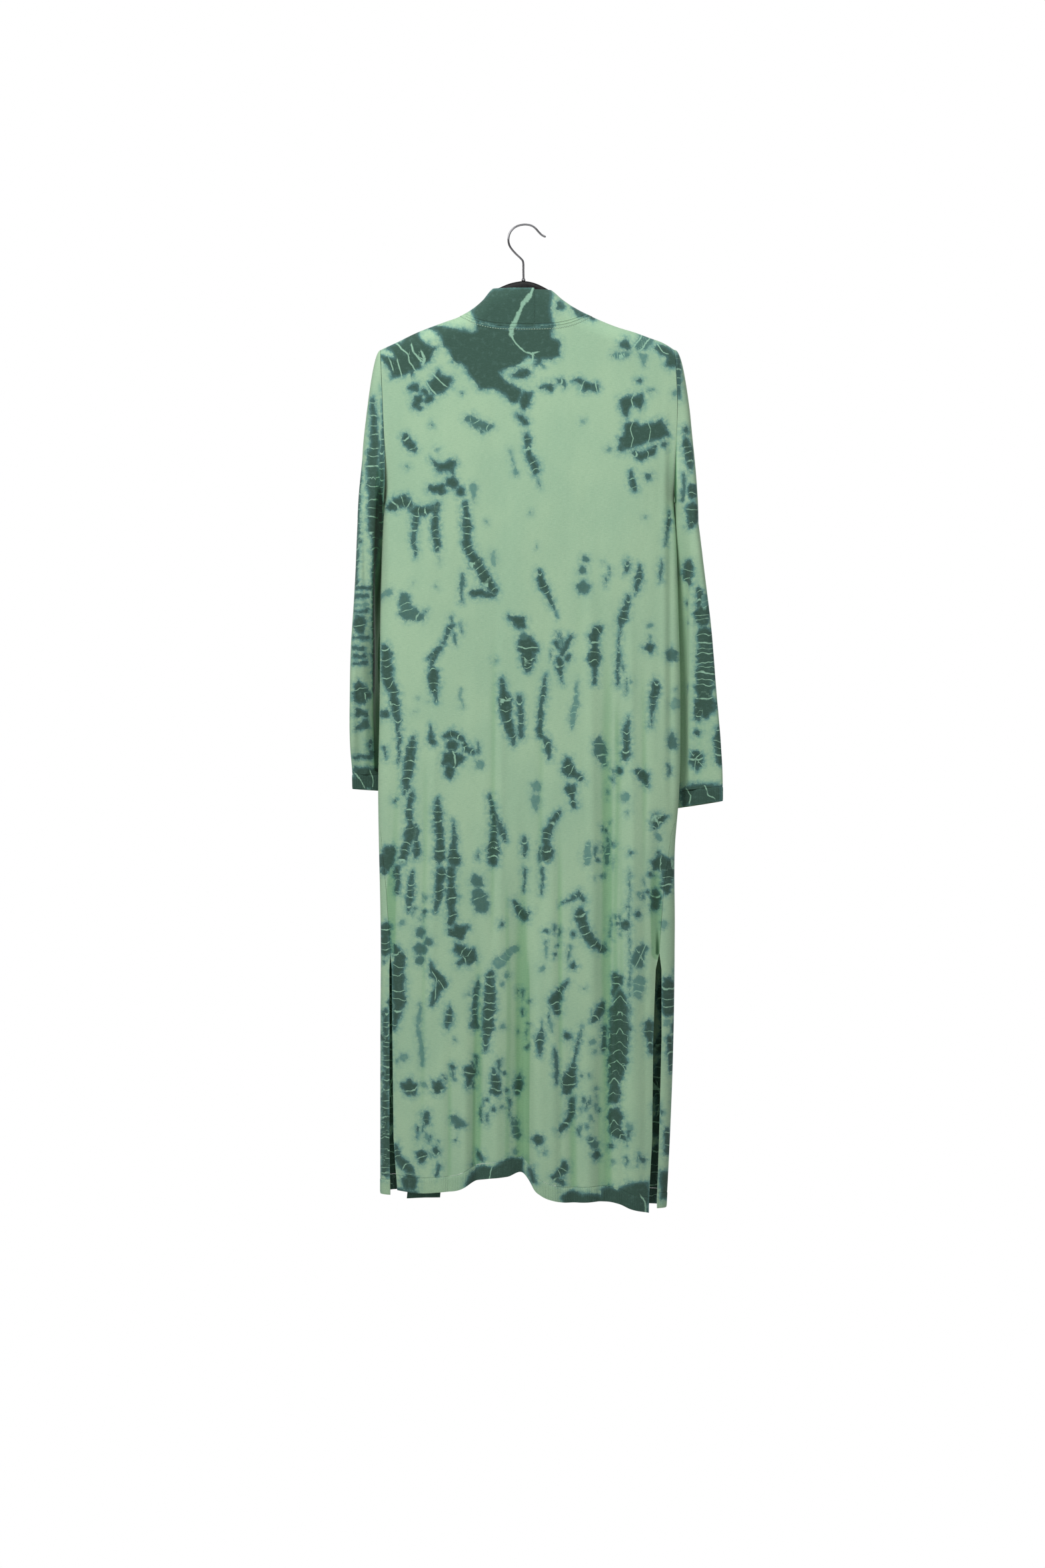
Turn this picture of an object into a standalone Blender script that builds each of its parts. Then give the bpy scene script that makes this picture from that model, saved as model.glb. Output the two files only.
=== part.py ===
"""A duster cardigan hanging on a plastic hanger with a wire hook, seen from behind.

The frame: +X is the wearer's right, +Z is up, and the cardigan's back faces -Y. The origin is where a rail
carries the hook, at the inner side of its crown. Every size below is in millimetres, and the meshes are made
in metres. The cloth is one hollow form, cut into the panels that a maker would sew: each panel is a wall
worked out on the same surface, so that its edges meet its neighbours' edges with a small seam gap.
"""

import math

import bmesh
import bpy
import numpy as np

MM = 0.001

# Walls and seams
PANEL_WALL = 2.0
BAND_WALL = 2.6
RIB_RELIEF = 0.5
SEAM_GAP = 0.3
SEAM_HALF = SEAM_GAP / 2

# The knitted ribs at the hems and cuffs
RIB_HEIGHT = 22.0
RIB_PITCH = 2.5

# The body's cross-section is a rounded box: its power, and the sizes that set how its columns are spaced
ROUNDING = 3.2
TYPICAL_HALF_WIDTH = 208.0
TYPICAL_HALF_DEPTH = 27.0
SECTION_SAMPLES = 2001

# How far below the hanger's arms the cloth reaches its full depth
SHOULDER_ROUND = 28.0

BACK = -1.0
FRONT = 1.0
LEFT = -1.0
RIGHT = 1.0

# Heights
SHOULDER_TIP = -178.3
UNDERARM = -395.0
SEAM_TURNS = -818.0
STRAIGHT_FROM = -420.0
STRAIGHT_TO = -1300.0

# The centre back seam of the band, and where the neckline meets the top of the shoulders
BAND_SEAM_X = 12.4
NECK_LOW = -150.6
NECK_RISE = 20.0
NECK_POWER = 3.4
NECK_LEFT = -93.0
NECK_RIGHT = 95.0

# How much of the body's depth the armhole edge stands away from the middle
ARMHOLE_DEPTH = 0.72


def table(columns, rows):
    """Rows of numbers as a dict of named columns."""
    values = np.array(rows, dtype=float)
    return {name: values[:, k] for k, name in enumerate(columns.split())}


# The body's outline from behind
OUTLINE = table(
    "z left right",
    [
        (-178, -206.0, 212.0),
        (-250, -203.0, 215.5),
        (-333, -199.5, 213.5),
        (-395, -200.5, 211.0),
        (-447, -203.0, 214.0),
        (-530, -205.5, 216.6),
        (-685, -207.0, 220.0),
        (-818, -209.0, 217.6),
        (-880, -208.0, 212.5),
        (-1000, -205.5, 212.0),
        (-1160, -205.8, 210.0),
        (-1300, -206.0, 205.0),
        (-1400, -206.0, 200.0),
    ],
)

# Half the body's depth
HALF_DEPTH = table(
    "z depth",
    [(-90, 19.0), (-180, 20.0), (-395, 24.0), (-700, 27.0), (-1000, 31.0), (-1400, 37.0)],
)

# The top line of the cloth over the hanger, seen from behind
RIDGE = table(
    "x z",
    [
        (-206, -178.3),
        (-185, -168.6),
        (-154, -153.6),
        (-114, -138.4),
        (-93, -130.6),
        (-77, -121.5),
        (-60, -107.5),
        (-46.5, -91.7),
        (-36, -88.0),
        (-20, -80.6),
        (-3, -77.7),
        (14, -80.6),
        (29, -89.0),
        (37, -94.0),
        (53, -107.5),
        (75, -121.5),
        (95, -131.2),
        (131, -146.0),
        (156, -153.6),
        (176, -161.0),
        (197, -169.0),
        (212, -178.3),
    ],
)

# The side seams and, below them, the slits: the back's edges and the edges of the fronts beside them
SIDE_EDGES = table(
    "z back_left front_left back_right front_right",
    [
        (-880, -204.0, -204.0, 205.0, 205.0),
        (-950, -197.5, -197.5, 196.0, 196.0),
        (-1037, -192.0, -192.0, 190.0, 190.0),
        (-1060, -189.8, -193.2, 184.5, 193.0),
        (-1160, -189.0, -193.0, 180.8, 193.0),
        (-1300, -187.0, -193.0, 179.4, 189.5),
        (-1372, -181.8, -192.0, 175.5, 187.0),
        (-1400, -181.4, -192.0, 174.8, 187.0),
    ],
)

# The lower edge of the back, whose middle part hangs in a fold
BACK_HEM = table(
    "x z",
    [
        (-182, -1372.8),
        (-148, -1376.1),
        (-118, -1373.7),
        (-92, -1370.0),
        (-72, -1359.0),
        (-54, -1355.4),
        (-26, -1352.6),
        (-1, -1350.0),
        (7, -1360.0),
        (13, -1370.4),
        (22, -1378.0),
        (42, -1386.0),
        (75, -1388.4),
        (109, -1387.8),
        (133, -1391.3),
        (150, -1398.5),
        (175, -1404.3),
    ],
)

# The neck and front band: its sewn edge and its free edge down the fronts, as x against z
BAND_EDGES = table(
    "z left_seam left_free right_seam right_free",
    [
        (-90, -93.0, -46.5, 95.0, 37.0),
        (-131, -93.0, -46.5, 95.0, 37.0),
        (-250, -98.0, -51.0, 94.0, 38.0),
        (-400, -108.0, -60.0, 92.0, 40.0),
        (-800, -124.0, -77.0, 90.0, 42.0),
        (-1150, -149.0, -102.0, 89.0, 43.5),
        (-1400, -171.0, -123.5, 88.0, 44.0),
    ],
)

# The hems of the fronts, from the side edge to the band
FRONT_HEM = {LEFT: (-1380.0, -1377.0), RIGHT: (-1399.0, -1395.0)}
BAND_HEM = {LEFT: -1391.0, RIGHT: -1396.0}

# Troughs and ridges in the cloth: a centre line, where it starts, its half width and how far it moves the
# cloth along +Y. That is into the cardigan on the back, and out of it on the fronts.
BACK_FOLDS = table(
    "x_top x_hem z_start z_full half_width depth",
    [
        (-95, -100, -850, -1300, 46, -5.0),
        (-60, -68, -920, -1250, 12, 7.0),
        (-52, -42, -980, -1300, 9, -3.0),
        (-8, -4, -840, -1230, 17, 15.0),
        (58, 66, -1120, -1320, 10, 4.5),
        (118, 116, -520, -950, 14, 9.0),
        (186, 187, -800, -960, 9, 6.0),
        (-187, -189, -700, -900, 9, 5.0),
    ],
)
FRONT_FOLDS = table(
    "x_top x_hem z_start z_full half_width depth",
    [
        (-160, -172, -420, -1000, 15, -6.0),
        (-136, -188, -600, -1100, 12, 5.0),
        (180, 176, -420, -900, 18, -7.0),
        (148, 150, -520, -1000, 15, 8.0),
        (120, 122, -600, -1100, 14, -6.0),
    ],
)

# Folded lips, where the cloth to the right lies over the cloth to the left
BACK_LIPS = table(
    "x_top x_hem z_start z_full edge reach depth",
    [(6, 8, -900, -1200, 3.5, 60, -15.0), (148, 148, -640, -1000, 4.0, 26, -7.0)],
)

# The rows of every panel, as drops below its top edge down to the straight part, and then as heights
TOP_DROPS = (0.0, 0.8, 2.6, 5.6, 10.5, 17.5, 28.0, 45.0, 70.0, 100.0, 140.0, 180.0, 204.0, 216.7)
STRAIGHT_ROWS = (
    *(-447, -500, -560, -620, -685, -750, -818, -880, -950),
    *(-1037, -1060, -1110, -1170, -1235, -1300),
)
HEM_ROWS = 1

# The part of the way from the centre back that each row of the band lies at, close together on the arm
BAND_BACK_ROWS = (1.0, 0.82, 0.64, 0.48, 0.34, 0.24, 0.16, 0.10, 0.055, 0.024, 0.0065)
BAND_COLUMNS = 4
BACK_COLUMNS = 24
FRONT_COLUMNS = 10

# Columns of the back that are added where the lip of its main fold is steep, and how close an even
# column may come to one that is added
LIP_COLUMNS = (4.0, 9.0, 14.0)
COLUMN_CLEARANCE = 0.018

# The height at which the back's columns are read to find their place along its hem
HEM_READ_AT = -1372.0

# The sleeves below the armhole: horizontal rings. outer is how far out the ring reaches, y its middle,
# turn the angle between its long axis and X, and tilt how much lower its inner front end hangs.
SLEEVE_RINGS = {
    LEFT: table(
        "z outer y half_long half_short turn tilt",
        [
            (-425, 238.5, 27, 52, 17.0, 70, 0),
            (-514, 242.0, 27, 50, 15.0, 74, 0),
            (-590, 247.0, 27, 49, 14.0, 75, 0),
            (-666, 249.0, 28, 48, 13.0, 71, 0),
            (-742, 249.0, 30, 46, 11.5, 60, 0),
            (-783, 246.5, 32, 44, 10.0, 47, 1),
            (-806, 246.0, 32, 43, 9.0, 43, 2),
        ],
    ),
    RIGHT: table(
        "z outer y half_long half_short turn tilt",
        [
            (-425, 246.0, 25, 52, 14.0, 76, 0),
            (-514, 256.5, 25, 51, 14.0, 70, 0),
            (-590, 265.0, 25, 50, 14.0, 62, 0),
            (-666, 270.5, 25, 50, 13.5, 57, 0),
            (-742, 277.0, 24, 50, 12.0, 49, 2),
            (-803, 280.0, 23, 49, 10.0, 42, 5),
            (-827, 280.0, 23, 48, 9.0, 41, 6),
        ],
    ),
}
SLEEVE_ROWS = {
    LEFT: (-425, -470, -514, -552, -590, -628, -666, -704, -742, -783.5),
    RIGHT: (-425, -470, -514, -552, -590, -628, -666, -704, -742, -804.5),
}
CUFF_HEIGHT = 22.0
CAP_STEPS = (0.0, 0.05, 0.12, 0.22, 0.36, 0.54, 0.76)
CAP_REACH = 17.0
UNDERARM_REACH = 6.0
CAP_DROP = 0.35
# How far down the armhole the sleeve starts to turn from the panel's plane to its outer side
BEND_FROM = 0.3

# The hanger's arch: how far its top lies below the top line of the cloth, its height and its thickness
HANGER = table(
    "x below height thick",
    [
        (-204, 4.0, 8, 6),
        (-201, 2.2, 14, 10),
        (-185, 1.5, 18, 12),
        (-114, 1.5, 21, 12),
        (-97, 1.7, 24, 12),
        (-88, 2.1, 25, 12),
        (-55, 3.2, 29, 12),
        (-46.5, 2.8, 30, 12),
        (-38, 2.8, 32, 12),
        (-3, 1.3, 36, 12),
        (30, 2.8, 32, 12),
        (37, 2.8, 30, 12),
        (53, 3.0, 28, 12),
        (88, 2.1, 25, 12),
        (97, 1.7, 24, 12),
        (114, 1.5, 21, 12),
        (185, 1.5, 18, 12),
        (201, 2.2, 14, 10),
        (204, 4.0, 8, 6),
    ],
)
HANGER_SIDES = 8
HANGER_SPACING = 12.0

# The wire hook, from its foot in the hanger up over its crown to its free end
WIRE_RADIUS = 1.5
HOOK_FOOT_X = -2.7
HOOK_COLLAR_RADIUS = 2.7
HOOK_COLLAR_SIDES = 16
HOOK_COLLAR_FOOT = -78.7
HOOK_ROUTE = table(
    "x z",
    [
        (-2.7, -76.0),
        (-2.9, -64.0),
        (-3.3, -52.0),
        (-6.7, -46.8),
        (-15.2, -38.6),
        (-21.9, -30.0),
        (-24.2, -21.5),
        (-22.6, -11.5),
        (-17.0, -4.0),
        (-9.5, 0.1),
        (0.0, 1.5),
        (8.4, 0.0),
        (14.0, -3.6),
        (19.0, -9.2),
        (23.6, -13.6),
        (29.1, -16.3),
    ],
)
HOOK_STEPS = 3
WIRE_BEVEL_RESOLUTION = 2

# How much an X direction counts beside a Y direction in telling a panel's outer side
SIDEWAYS_WEIGHT = 0.2

# Edges sharper than this stay sharp in the shading
SHARP_ANGLE = math.radians(40)

# Colours as linear red, green and blue, with roughness and metallic
FINISHES = {
    "jersey": ((0.36, 0.62, 0.39), 0.9, 0.0),
    "rib": ((0.08, 0.17, 0.13), 0.9, 0.0),
    "band": ((0.08, 0.17, 0.13), 0.9, 0.0),
    "plastic": ((0.02, 0.02, 0.022), 0.4, 0.0),
    "chrome": ((0.7, 0.7, 0.72), 0.15, 1.0),
}


def curve(at, places, values):
    """A smooth curve through a table's points, read at some places."""
    if places[0] > places[-1]:
        places, values = places[::-1], values[::-1]
    slopes = np.gradient(values, places)
    at = np.clip(at, places[0], places[-1])
    k = np.clip(np.searchsorted(places, at, side="right") - 1, 0, len(places) - 2)
    step = places[k + 1] - places[k]
    t = (at - places[k]) / step
    keep = (1 + 2 * t) * (1 - t) ** 2
    near = values[k] * keep + values[k + 1] * (1 - keep)
    return near + step * t * (1 - t) * (slopes[k] * (1 - t) - slopes[k + 1] * t)


def eased(t):
    """0 below 0 and 1 above 1, with a soft start and end."""
    t = np.clip(t, 0.0, 1.0)
    return t * t * (3 - 2 * t)


def mixed(start, end, share):
    """The value that lies this share of the way from start to end."""
    return start + (end - start) * share


def spacing_of_columns():
    """How far round the typical cross-section each point across it lies, both from -1 to 1."""
    angle = math.pi / 2 * np.linspace(0.0, 1.0, SECTION_SAMPLES) ** 2
    across = np.cos(angle) ** (2 / ROUNDING)
    deep = np.sin(angle) ** (2 / ROUNDING)
    steps = np.hypot(TYPICAL_HALF_WIDTH * np.diff(across), TYPICAL_HALF_DEPTH * np.diff(deep))
    turn = 1 - np.concatenate([[0.0], np.cumsum(steps)]) / np.sum(steps)
    return across[::-1], turn[::-1], float(np.sum(steps))


ACROSS, TURN, TURN_LENGTH = spacing_of_columns()


def across_of(turn):
    """The place across the body, from -1 to 1, of a place round it."""
    return np.sign(turn) * np.interp(np.abs(turn), TURN, ACROSS)


def turn_of(across):
    """The place round the body, from -1 to 1, of a place across it."""
    return np.sign(across) * np.interp(np.abs(across), ACROSS, TURN)


def ridge(x):
    """The height of the cloth's top line over the hanger."""
    return curve(x, RIDGE["x"], RIDGE["z"])


def neckline(x):
    """The height of the seam between the back and the neck band."""
    reach = np.where(x < 0, NECK_LEFT, NECK_RIGHT)
    return NECK_LOW + NECK_RISE * np.abs(x / reach) ** NECK_POWER


def outline(z):
    """The middle and half width of the body at a height."""
    left = curve(z, OUTLINE["z"], OUTLINE["left"])
    right = curve(z, OUTLINE["z"], OUTLINE["right"])
    return (left + right) / 2, (right - left) / 2


def fold(x, z, folds):
    """The sum of a table's troughs and ridges."""
    total = np.zeros(np.broadcast(x, z).shape)
    for k in range(len(folds["depth"])):
        down = np.clip((z - STRAIGHT_FROM) / (STRAIGHT_TO - STRAIGHT_FROM), 0.0, 1.1)
        centre = mixed(folds["x_top"][k], folds["x_hem"][k], down)
        grown = eased((z - folds["z_start"][k]) / (folds["z_full"][k] - folds["z_start"][k]))
        total = total + folds["depth"][k] * grown * np.exp(-(((x - centre) / folds["half_width"][k]) ** 2))
    return total


def lips(x, z):
    """Folds whose left side is steep: the cloth to the right of the line comes forward and fades away."""
    total = np.zeros(np.broadcast(x, z).shape)
    for k in range(len(BACK_LIPS["depth"])):
        down = np.clip((z - STRAIGHT_FROM) / (STRAIGHT_TO - STRAIGHT_FROM), 0.0, 1.1)
        beyond = x - mixed(BACK_LIPS["x_top"][k], BACK_LIPS["x_hem"][k], down)
        grown = eased((z - BACK_LIPS["z_start"][k]) / (BACK_LIPS["z_full"][k] - BACK_LIPS["z_start"][k]))
        edge = 1 / (1 + np.exp(-beyond / BACK_LIPS["edge"][k]))
        fading = np.exp(-np.maximum(beyond, 0) / BACK_LIPS["reach"][k])
        total = total + BACK_LIPS["depth"][k] * grown * edge * fading
    return total


def armhole_share(z):
    """How far from the middle the body's edge lies, as a share of its depth: only along the armhole."""
    drop = np.clip((SHOULDER_TIP - z) / (SHOULDER_TIP - UNDERARM), 0.0, 1.0)
    return ARMHOLE_DEPTH * np.sqrt(1 - drop**2.5)


def body_at(across, z, side):
    """A point on the cloth of the body, from its place across the body, its height and its side."""
    middle, half = outline(z)
    x = middle + half * across
    kept = armhole_share(z)
    shrink = (1 - kept**ROUNDING) ** (1 / ROUNDING)
    full = np.clip(1 - np.abs(across * shrink) ** ROUNDING, 0.0, 1.0) ** (1 / ROUNDING)
    drop = np.clip(ridge(x) - z, 0.0, SHOULDER_ROUND) / SHOULDER_ROUND
    over_arm = np.sqrt(np.clip(1 - (1 - drop) ** 2, 0.0, 1.0))
    depth = curve(z, HALF_DEPTH["z"], HALF_DEPTH["depth"]) * full * over_arm
    folds = np.where(side < 0, fold(x, z, BACK_FOLDS) + lips(x, z), fold(x, z, FRONT_FOLDS))
    y = side * np.hypot(depth, SEAM_HALF) + folds * full * eased(drop)
    return np.stack([x, y, z + 0 * x], axis=-1)


def body_round(turn, z):
    """A point on the body from the way round it: -1 is its left edge, 1 its right, and past them are the
    fronts."""
    side = np.where(np.abs(turn) > 1, FRONT, BACK)
    inner = np.where(turn < -1, -2 - turn, np.where(turn > 1, 2 - turn, turn))
    return body_at(across_of(inner), z, side)


def turn_at(x, z):
    """The way round the back at which the body has this x."""
    middle, half = outline(z)
    return turn_of(np.clip((x - middle) / half, -1.0, 1.0))


def side_turn(z, name):
    """The way round of a side seam or a slit's edge. It is the outline's own edge down to where it turns."""
    edge = LEFT if name.endswith("left") else RIGHT
    seam = turn_at(np.interp(-z, -SIDE_EDGES["z"], SIDE_EDGES[name]), z)
    return mixed(edge, seam, eased((z - SEAM_TURNS) / (SIDE_EDGES["z"][0] - SEAM_TURNS)))


def height(row, top, bottom):
    """The height of a row, which follows the top edge, then is level, then follows the lower edge."""
    straight_top = STRAIGHT_ROWS[0]
    fall = np.array(TOP_DROPS) / (SHOULDER_TIP - straight_top)
    top_heights = [mixed(top, straight_top, part) for part in fall]
    levels = [np.full(np.shape(top), float(z)) for z in STRAIGHT_ROWS]
    rows = np.array(top_heights + levels + [bottom + 0 * top])
    k = np.clip(np.floor(row).astype(int), 0, len(rows) - 2)
    low = np.take_along_axis(rows, k[None, ...], axis=0)[0]
    high = np.take_along_axis(rows, k[None, ...] + 1, axis=0)[0]
    return mixed(low, high, row - k)


ROWS = len(TOP_DROPS) + len(STRAIGHT_ROWS) + HEM_ROWS


def back_hem(x):
    """The height of the back's lower edge."""
    return curve(x, BACK_HEM["x"], BACK_HEM["z"])


def back_turn(column, z):
    """The way round of a column of the back, whose edges keep half a seam gap from the seams."""
    gap = SEAM_HALF / TURN_LENGTH
    left = side_turn(z, "back_left") + gap
    right = side_turn(z, "back_right") - gap
    return mixed(left, right, (column + 1) / 2)


def top_edge(turn_function, column, *fixed):
    """The height at which a column of a panel meets the top line of the cloth."""
    z = SHOULDER_TIP + 0 * column
    for _ in range(4):
        turn = turn_function(column, z, *fixed)
        x = body_round(turn, z)[..., 0]
        z = ridge(x)
    return x, z


def back_edges(column):
    """The heights of the top edge and the hem of the back at a column."""
    x, top = top_edge(back_turn, column)
    in_neck = (x > NECK_LEFT) & (x < NECK_RIGHT)
    top = np.where(in_neck, np.minimum(neckline(x) - SEAM_HALF, top), top)
    hem_x = body_round(back_turn(column, HEM_READ_AT), HEM_READ_AT + 0 * column)[..., 0]
    return top, back_hem(hem_x)


def back_point(column, row):
    """A point on the back: columns from -1 to 1 across it, rows from its top down to the seam of its rib."""
    top, hem = back_edges(column)
    z = height(row, top, hem + RIB_HEIGHT + SEAM_HALF)
    return body_round(back_turn(column, z), z)


def back_rib_point(column, row):
    """Row 0 is the seam above the rib, row 1 the hem."""
    hem = back_edges(column)[1]
    z = mixed(hem + RIB_HEIGHT - SEAM_HALF, hem, row)
    return body_round(back_turn(column, z), z)


def band_x(z, hand, edge):
    """The x of the sewn or the free edge of the front band at a height."""
    name = ("left_" if hand < 0 else "right_") + edge
    return curve(z, BAND_EDGES["z"], BAND_EDGES[name])


def front_turn(share, z, hand):
    """The way round of a column of a front: 0 at its side edge, 1 at the band."""
    gap = SEAM_HALF / TURN_LENGTH
    side = side_turn(z, "front_left" if hand < 0 else "front_right")
    at_band = 2 * hand - turn_at(band_x(z, hand, "seam") + hand * SEAM_HALF, z)
    return mixed(side + hand * gap, at_band, share)


def front_edges(share, hand):
    """The heights of the top edge and the hem of a front."""
    top = top_edge(front_turn, share, hand)[1]
    return top, mixed(FRONT_HEM[hand][0], FRONT_HEM[hand][1], share)


def front_point(share, row, hand):
    """A point on a front, from its side seam, 0, to its band, 1, and down its rows."""
    top, hem = front_edges(share, hand)
    z = height(row, top, hem + RIB_HEIGHT + SEAM_HALF)
    return body_round(front_turn(share, z, hand), z)


def front_rib_point(share, row, hand):
    """Row 0 is the seam above the front's rib, row 1 its hem."""
    hem = front_edges(share, hand)[1]
    z = mixed(hem + RIB_HEIGHT - SEAM_HALF, hem, row)
    return body_round(front_turn(share, z, hand), z)


def band_point(width, way, hand):
    """A point on the neck and front band. width runs from its sewn edge, 0, to its free edge, 1. way runs
    from the centre back, -1, to the top of the hanger's arm, 0, and then down the rows of the front."""
    seam_x = NECK_LEFT if hand < 0 else NECK_RIGHT
    free_x = float(band_x(np.array(-90.0), hand, "free"))
    centre_x = BAND_SEAM_X + hand * SEAM_HALF
    back = np.clip(-way, 0.0, 1.0)
    back_seam_x = mixed(seam_x, centre_x, back)
    back_free_x = mixed(free_x, centre_x, back)
    back_seam_z = np.minimum(neckline(back_seam_x) + SEAM_HALF, ridge(back_seam_x))
    back_free_z = np.minimum(ridge(free_x) + 0 * back_free_x, ridge(back_free_x))
    row = np.maximum(way, 0.0)
    end = BAND_HEM[hand] + RIB_HEIGHT + SEAM_HALF
    front_seam_z = height(row, ridge(seam_x) + 0 * row, end)
    front_free_z = height(row, ridge(free_x) + 0 * row, end)
    front_seam_x = band_x(front_seam_z, hand, "seam") - hand * SEAM_HALF
    front_free_x = band_x(front_free_z, hand, "free")
    on_back = way < 0
    seam = (np.where(on_back, back_seam_x, front_seam_x), np.where(on_back, back_seam_z, front_seam_z))
    free = (np.where(on_back, back_free_x, front_free_x), np.where(on_back, back_free_z, front_free_z))
    x = mixed(seam[0], free[0], width)
    z = mixed(seam[1], free[1], width)
    on_arm = np.abs(way) < 1e-9
    z = np.where(on_arm, ridge(x), np.minimum(z, ridge(x)))
    middle, half = outline(z)
    point = body_at((x - middle) / half, z, np.where(on_back, BACK, FRONT))
    point[..., 1] = np.where(on_arm, 0.0, point[..., 1])
    return point


def band_rib_point(width, row, hand):
    """The ribbed end of the band: row 0 is the seam above it, row 1 its lower edge."""
    z = mixed(BAND_HEM[hand] + RIB_HEIGHT - SEAM_HALF, BAND_HEM[hand] + 0 * width, row)
    seam_x = band_x(z, hand, "seam") - hand * SEAM_HALF
    x = mixed(seam_x, band_x(z, hand, "free"), width)
    middle, half = outline(z)
    return body_at((x - middle) / half, z, FRONT)


def armhole(drop, side, hand):
    """A point on the armhole's edge, the cloth's normal there, and the direction out of the panel."""
    z = SHOULDER_TIP - drop
    step = 1e-3
    at = body_at(hand, z, side)
    inward = body_at(hand * (1 - 1e-6), z, side)
    below = body_at(hand, z - step, side)
    outward = (at - inward) / np.linalg.norm(at - inward)
    along = (below - at) / np.linalg.norm(below - at)
    normal = np.cross(along, outward)
    normal = normal / np.linalg.norm(normal)
    if normal[1] * side < 0:
        normal = -normal
    out = outward - np.dot(outward, along) * along
    return at, normal, out / np.linalg.norm(out)


def armhole_end(top, hand):
    """The armhole's highest or lowest point, in the same form."""
    if not top:
        middle, half = outline(np.array(UNDERARM))
        lowest = np.array([middle + hand * half, 0.0, UNDERARM])
        return lowest, np.array([hand, 0, 0]), np.array([0, 0, 1.0])
    middle, half = outline(np.array(SHOULDER_TIP))
    x = middle + hand * half
    slope = (ridge(x) - ridge(x - hand)) * hand
    along = np.array([hand, 0.0, hand * slope])
    along = along / np.linalg.norm(along)
    return np.array([x, 0.0, SHOULDER_TIP]), np.array([-along[2] * hand, 0, along[0] * hand]), along


def sleeve_ring(angle, z, hand):
    """A point on a level ring of a sleeve. The angle is 0 at its outer side and a quarter at its rear end."""
    rings = SLEEVE_RINGS[hand]
    values = {name: curve(z, rings["z"], rings[name]) for name in rings}
    turn = np.radians(values["turn"])
    reach = np.hypot(values["half_long"] * np.cos(turn), values["half_short"] * np.sin(turn))
    long_x, long_y = -hand * np.cos(turn), np.sin(turn)
    short_x, short_y = hand * np.sin(turn), np.cos(turn)
    rear = -np.sin(angle) * values["half_long"]
    outer = np.cos(angle) * values["half_short"]
    x = hand * (values["outer"] - reach) + long_x * rear + short_x * outer
    y = values["y"] + long_y * rear + short_y * outer
    return np.stack([x, y, z + np.sin(angle) * values["tilt"] + 0 * x], axis=-1)


def armhole_loop(hand):
    """The points that the sleeve starts from: down the back of the armhole and up its front."""
    drops = TOP_DROPS[1:-1]
    loop = [(0.0, armhole_end(True, hand))]
    for drop in drops:
        loop.append((sleeve_angle(drop), armhole(drop, BACK, hand)))
    loop.append((math.pi, armhole_end(False, hand)))
    for drop in drops[::-1]:
        loop.append((2 * math.pi - sleeve_angle(drop), armhole(drop, FRONT, hand)))
    return loop


def sleeve_angle(drop):
    """The place round the sleeve of a point that lies this far down the armhole."""
    return math.acos(1 - 2 * drop / (SHOULDER_TIP - UNDERARM))


def sleeve_grid(hand):
    """The sleeve's middle surface: a cap that leaves the armhole and bends down, then level rings."""
    columns = []
    first_normals = []
    top_ring = float(SLEEVE_RINGS[hand]["z"][0])
    for angle, (edge, normal, out) in armhole_loop(hand):
        low = (1 - math.cos(angle)) / 2
        bend = math.pi / 2 * float(eased((low - BEND_FROM) / (1 - BEND_FROM)))
        leave = math.cos(bend) * out + math.sin(bend) * normal
        facing = math.cos(bend) * normal - math.sin(bend) * out
        start = edge + 2 * SEAM_GAP * leave + PANEL_WALL / 2 * math.sin(bend) * normal
        end = sleeve_ring(angle, top_ring, hand)
        fall = start[2] - end[2]
        handle = start + leave * mixed(CAP_REACH, UNDERARM_REACH, low)
        handle[2] -= CAP_DROP * fall * math.sin(angle) ** 2
        arrive = end + np.array([0.0, 0.0, CAP_DROP * fall])
        cap = [bezier(start, handle, arrive, end, t) for t in CAP_STEPS]
        rings = [sleeve_ring(angle, z, hand) for z in SLEEVE_ROWS[hand]]
        columns.append(cap + rings)
        first_normals.append(facing)
    return np.array(columns), np.array(first_normals)


def bezier(start, handle, arrive, end, t):
    """A point along a cubic curve that leaves start towards handle and reaches end from arrive."""
    s = 1 - t
    return s**3 * start + 3 * s * s * t * handle + 3 * s * t * t * arrive + t**3 * end


def surface(point, columns, rows, *fixed):
    """A function's points over a grid of columns and rows, and the normals there."""
    u, v = np.meshgrid(columns, rows, indexing="ij")
    step_u = 1e-5 * (columns[-1] - columns[0])
    step_v = 1e-5 * (rows[-1] - rows[0])
    u_low = np.where(u <= columns[0], u, u - step_u)
    u_high = np.where(u >= columns[-1], u, u + step_u)
    v_low = np.where(v <= rows[0], v, v - step_v)
    v_high = np.where(v >= rows[-1], v, v + step_v)
    across = point(u_high, v, *fixed) - point(u_low, v, *fixed)
    along = point(u, v_high, *fixed) - point(u, v_low, *fixed)
    normals = np.cross(across, along)
    lengths = np.linalg.norm(normals, axis=-1, keepdims=True)
    return point(u, v, *fixed), normals / np.maximum(lengths, 1e-12)


def grid_normals(points):
    """The normals of a grid that closes on itself across its columns."""
    across = np.roll(points, -1, axis=0) - np.roll(points, 1, axis=0)
    along = np.gradient(points, axis=1)
    normals = np.cross(across, along)
    return normals / np.linalg.norm(normals, axis=-1, keepdims=True)


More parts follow.
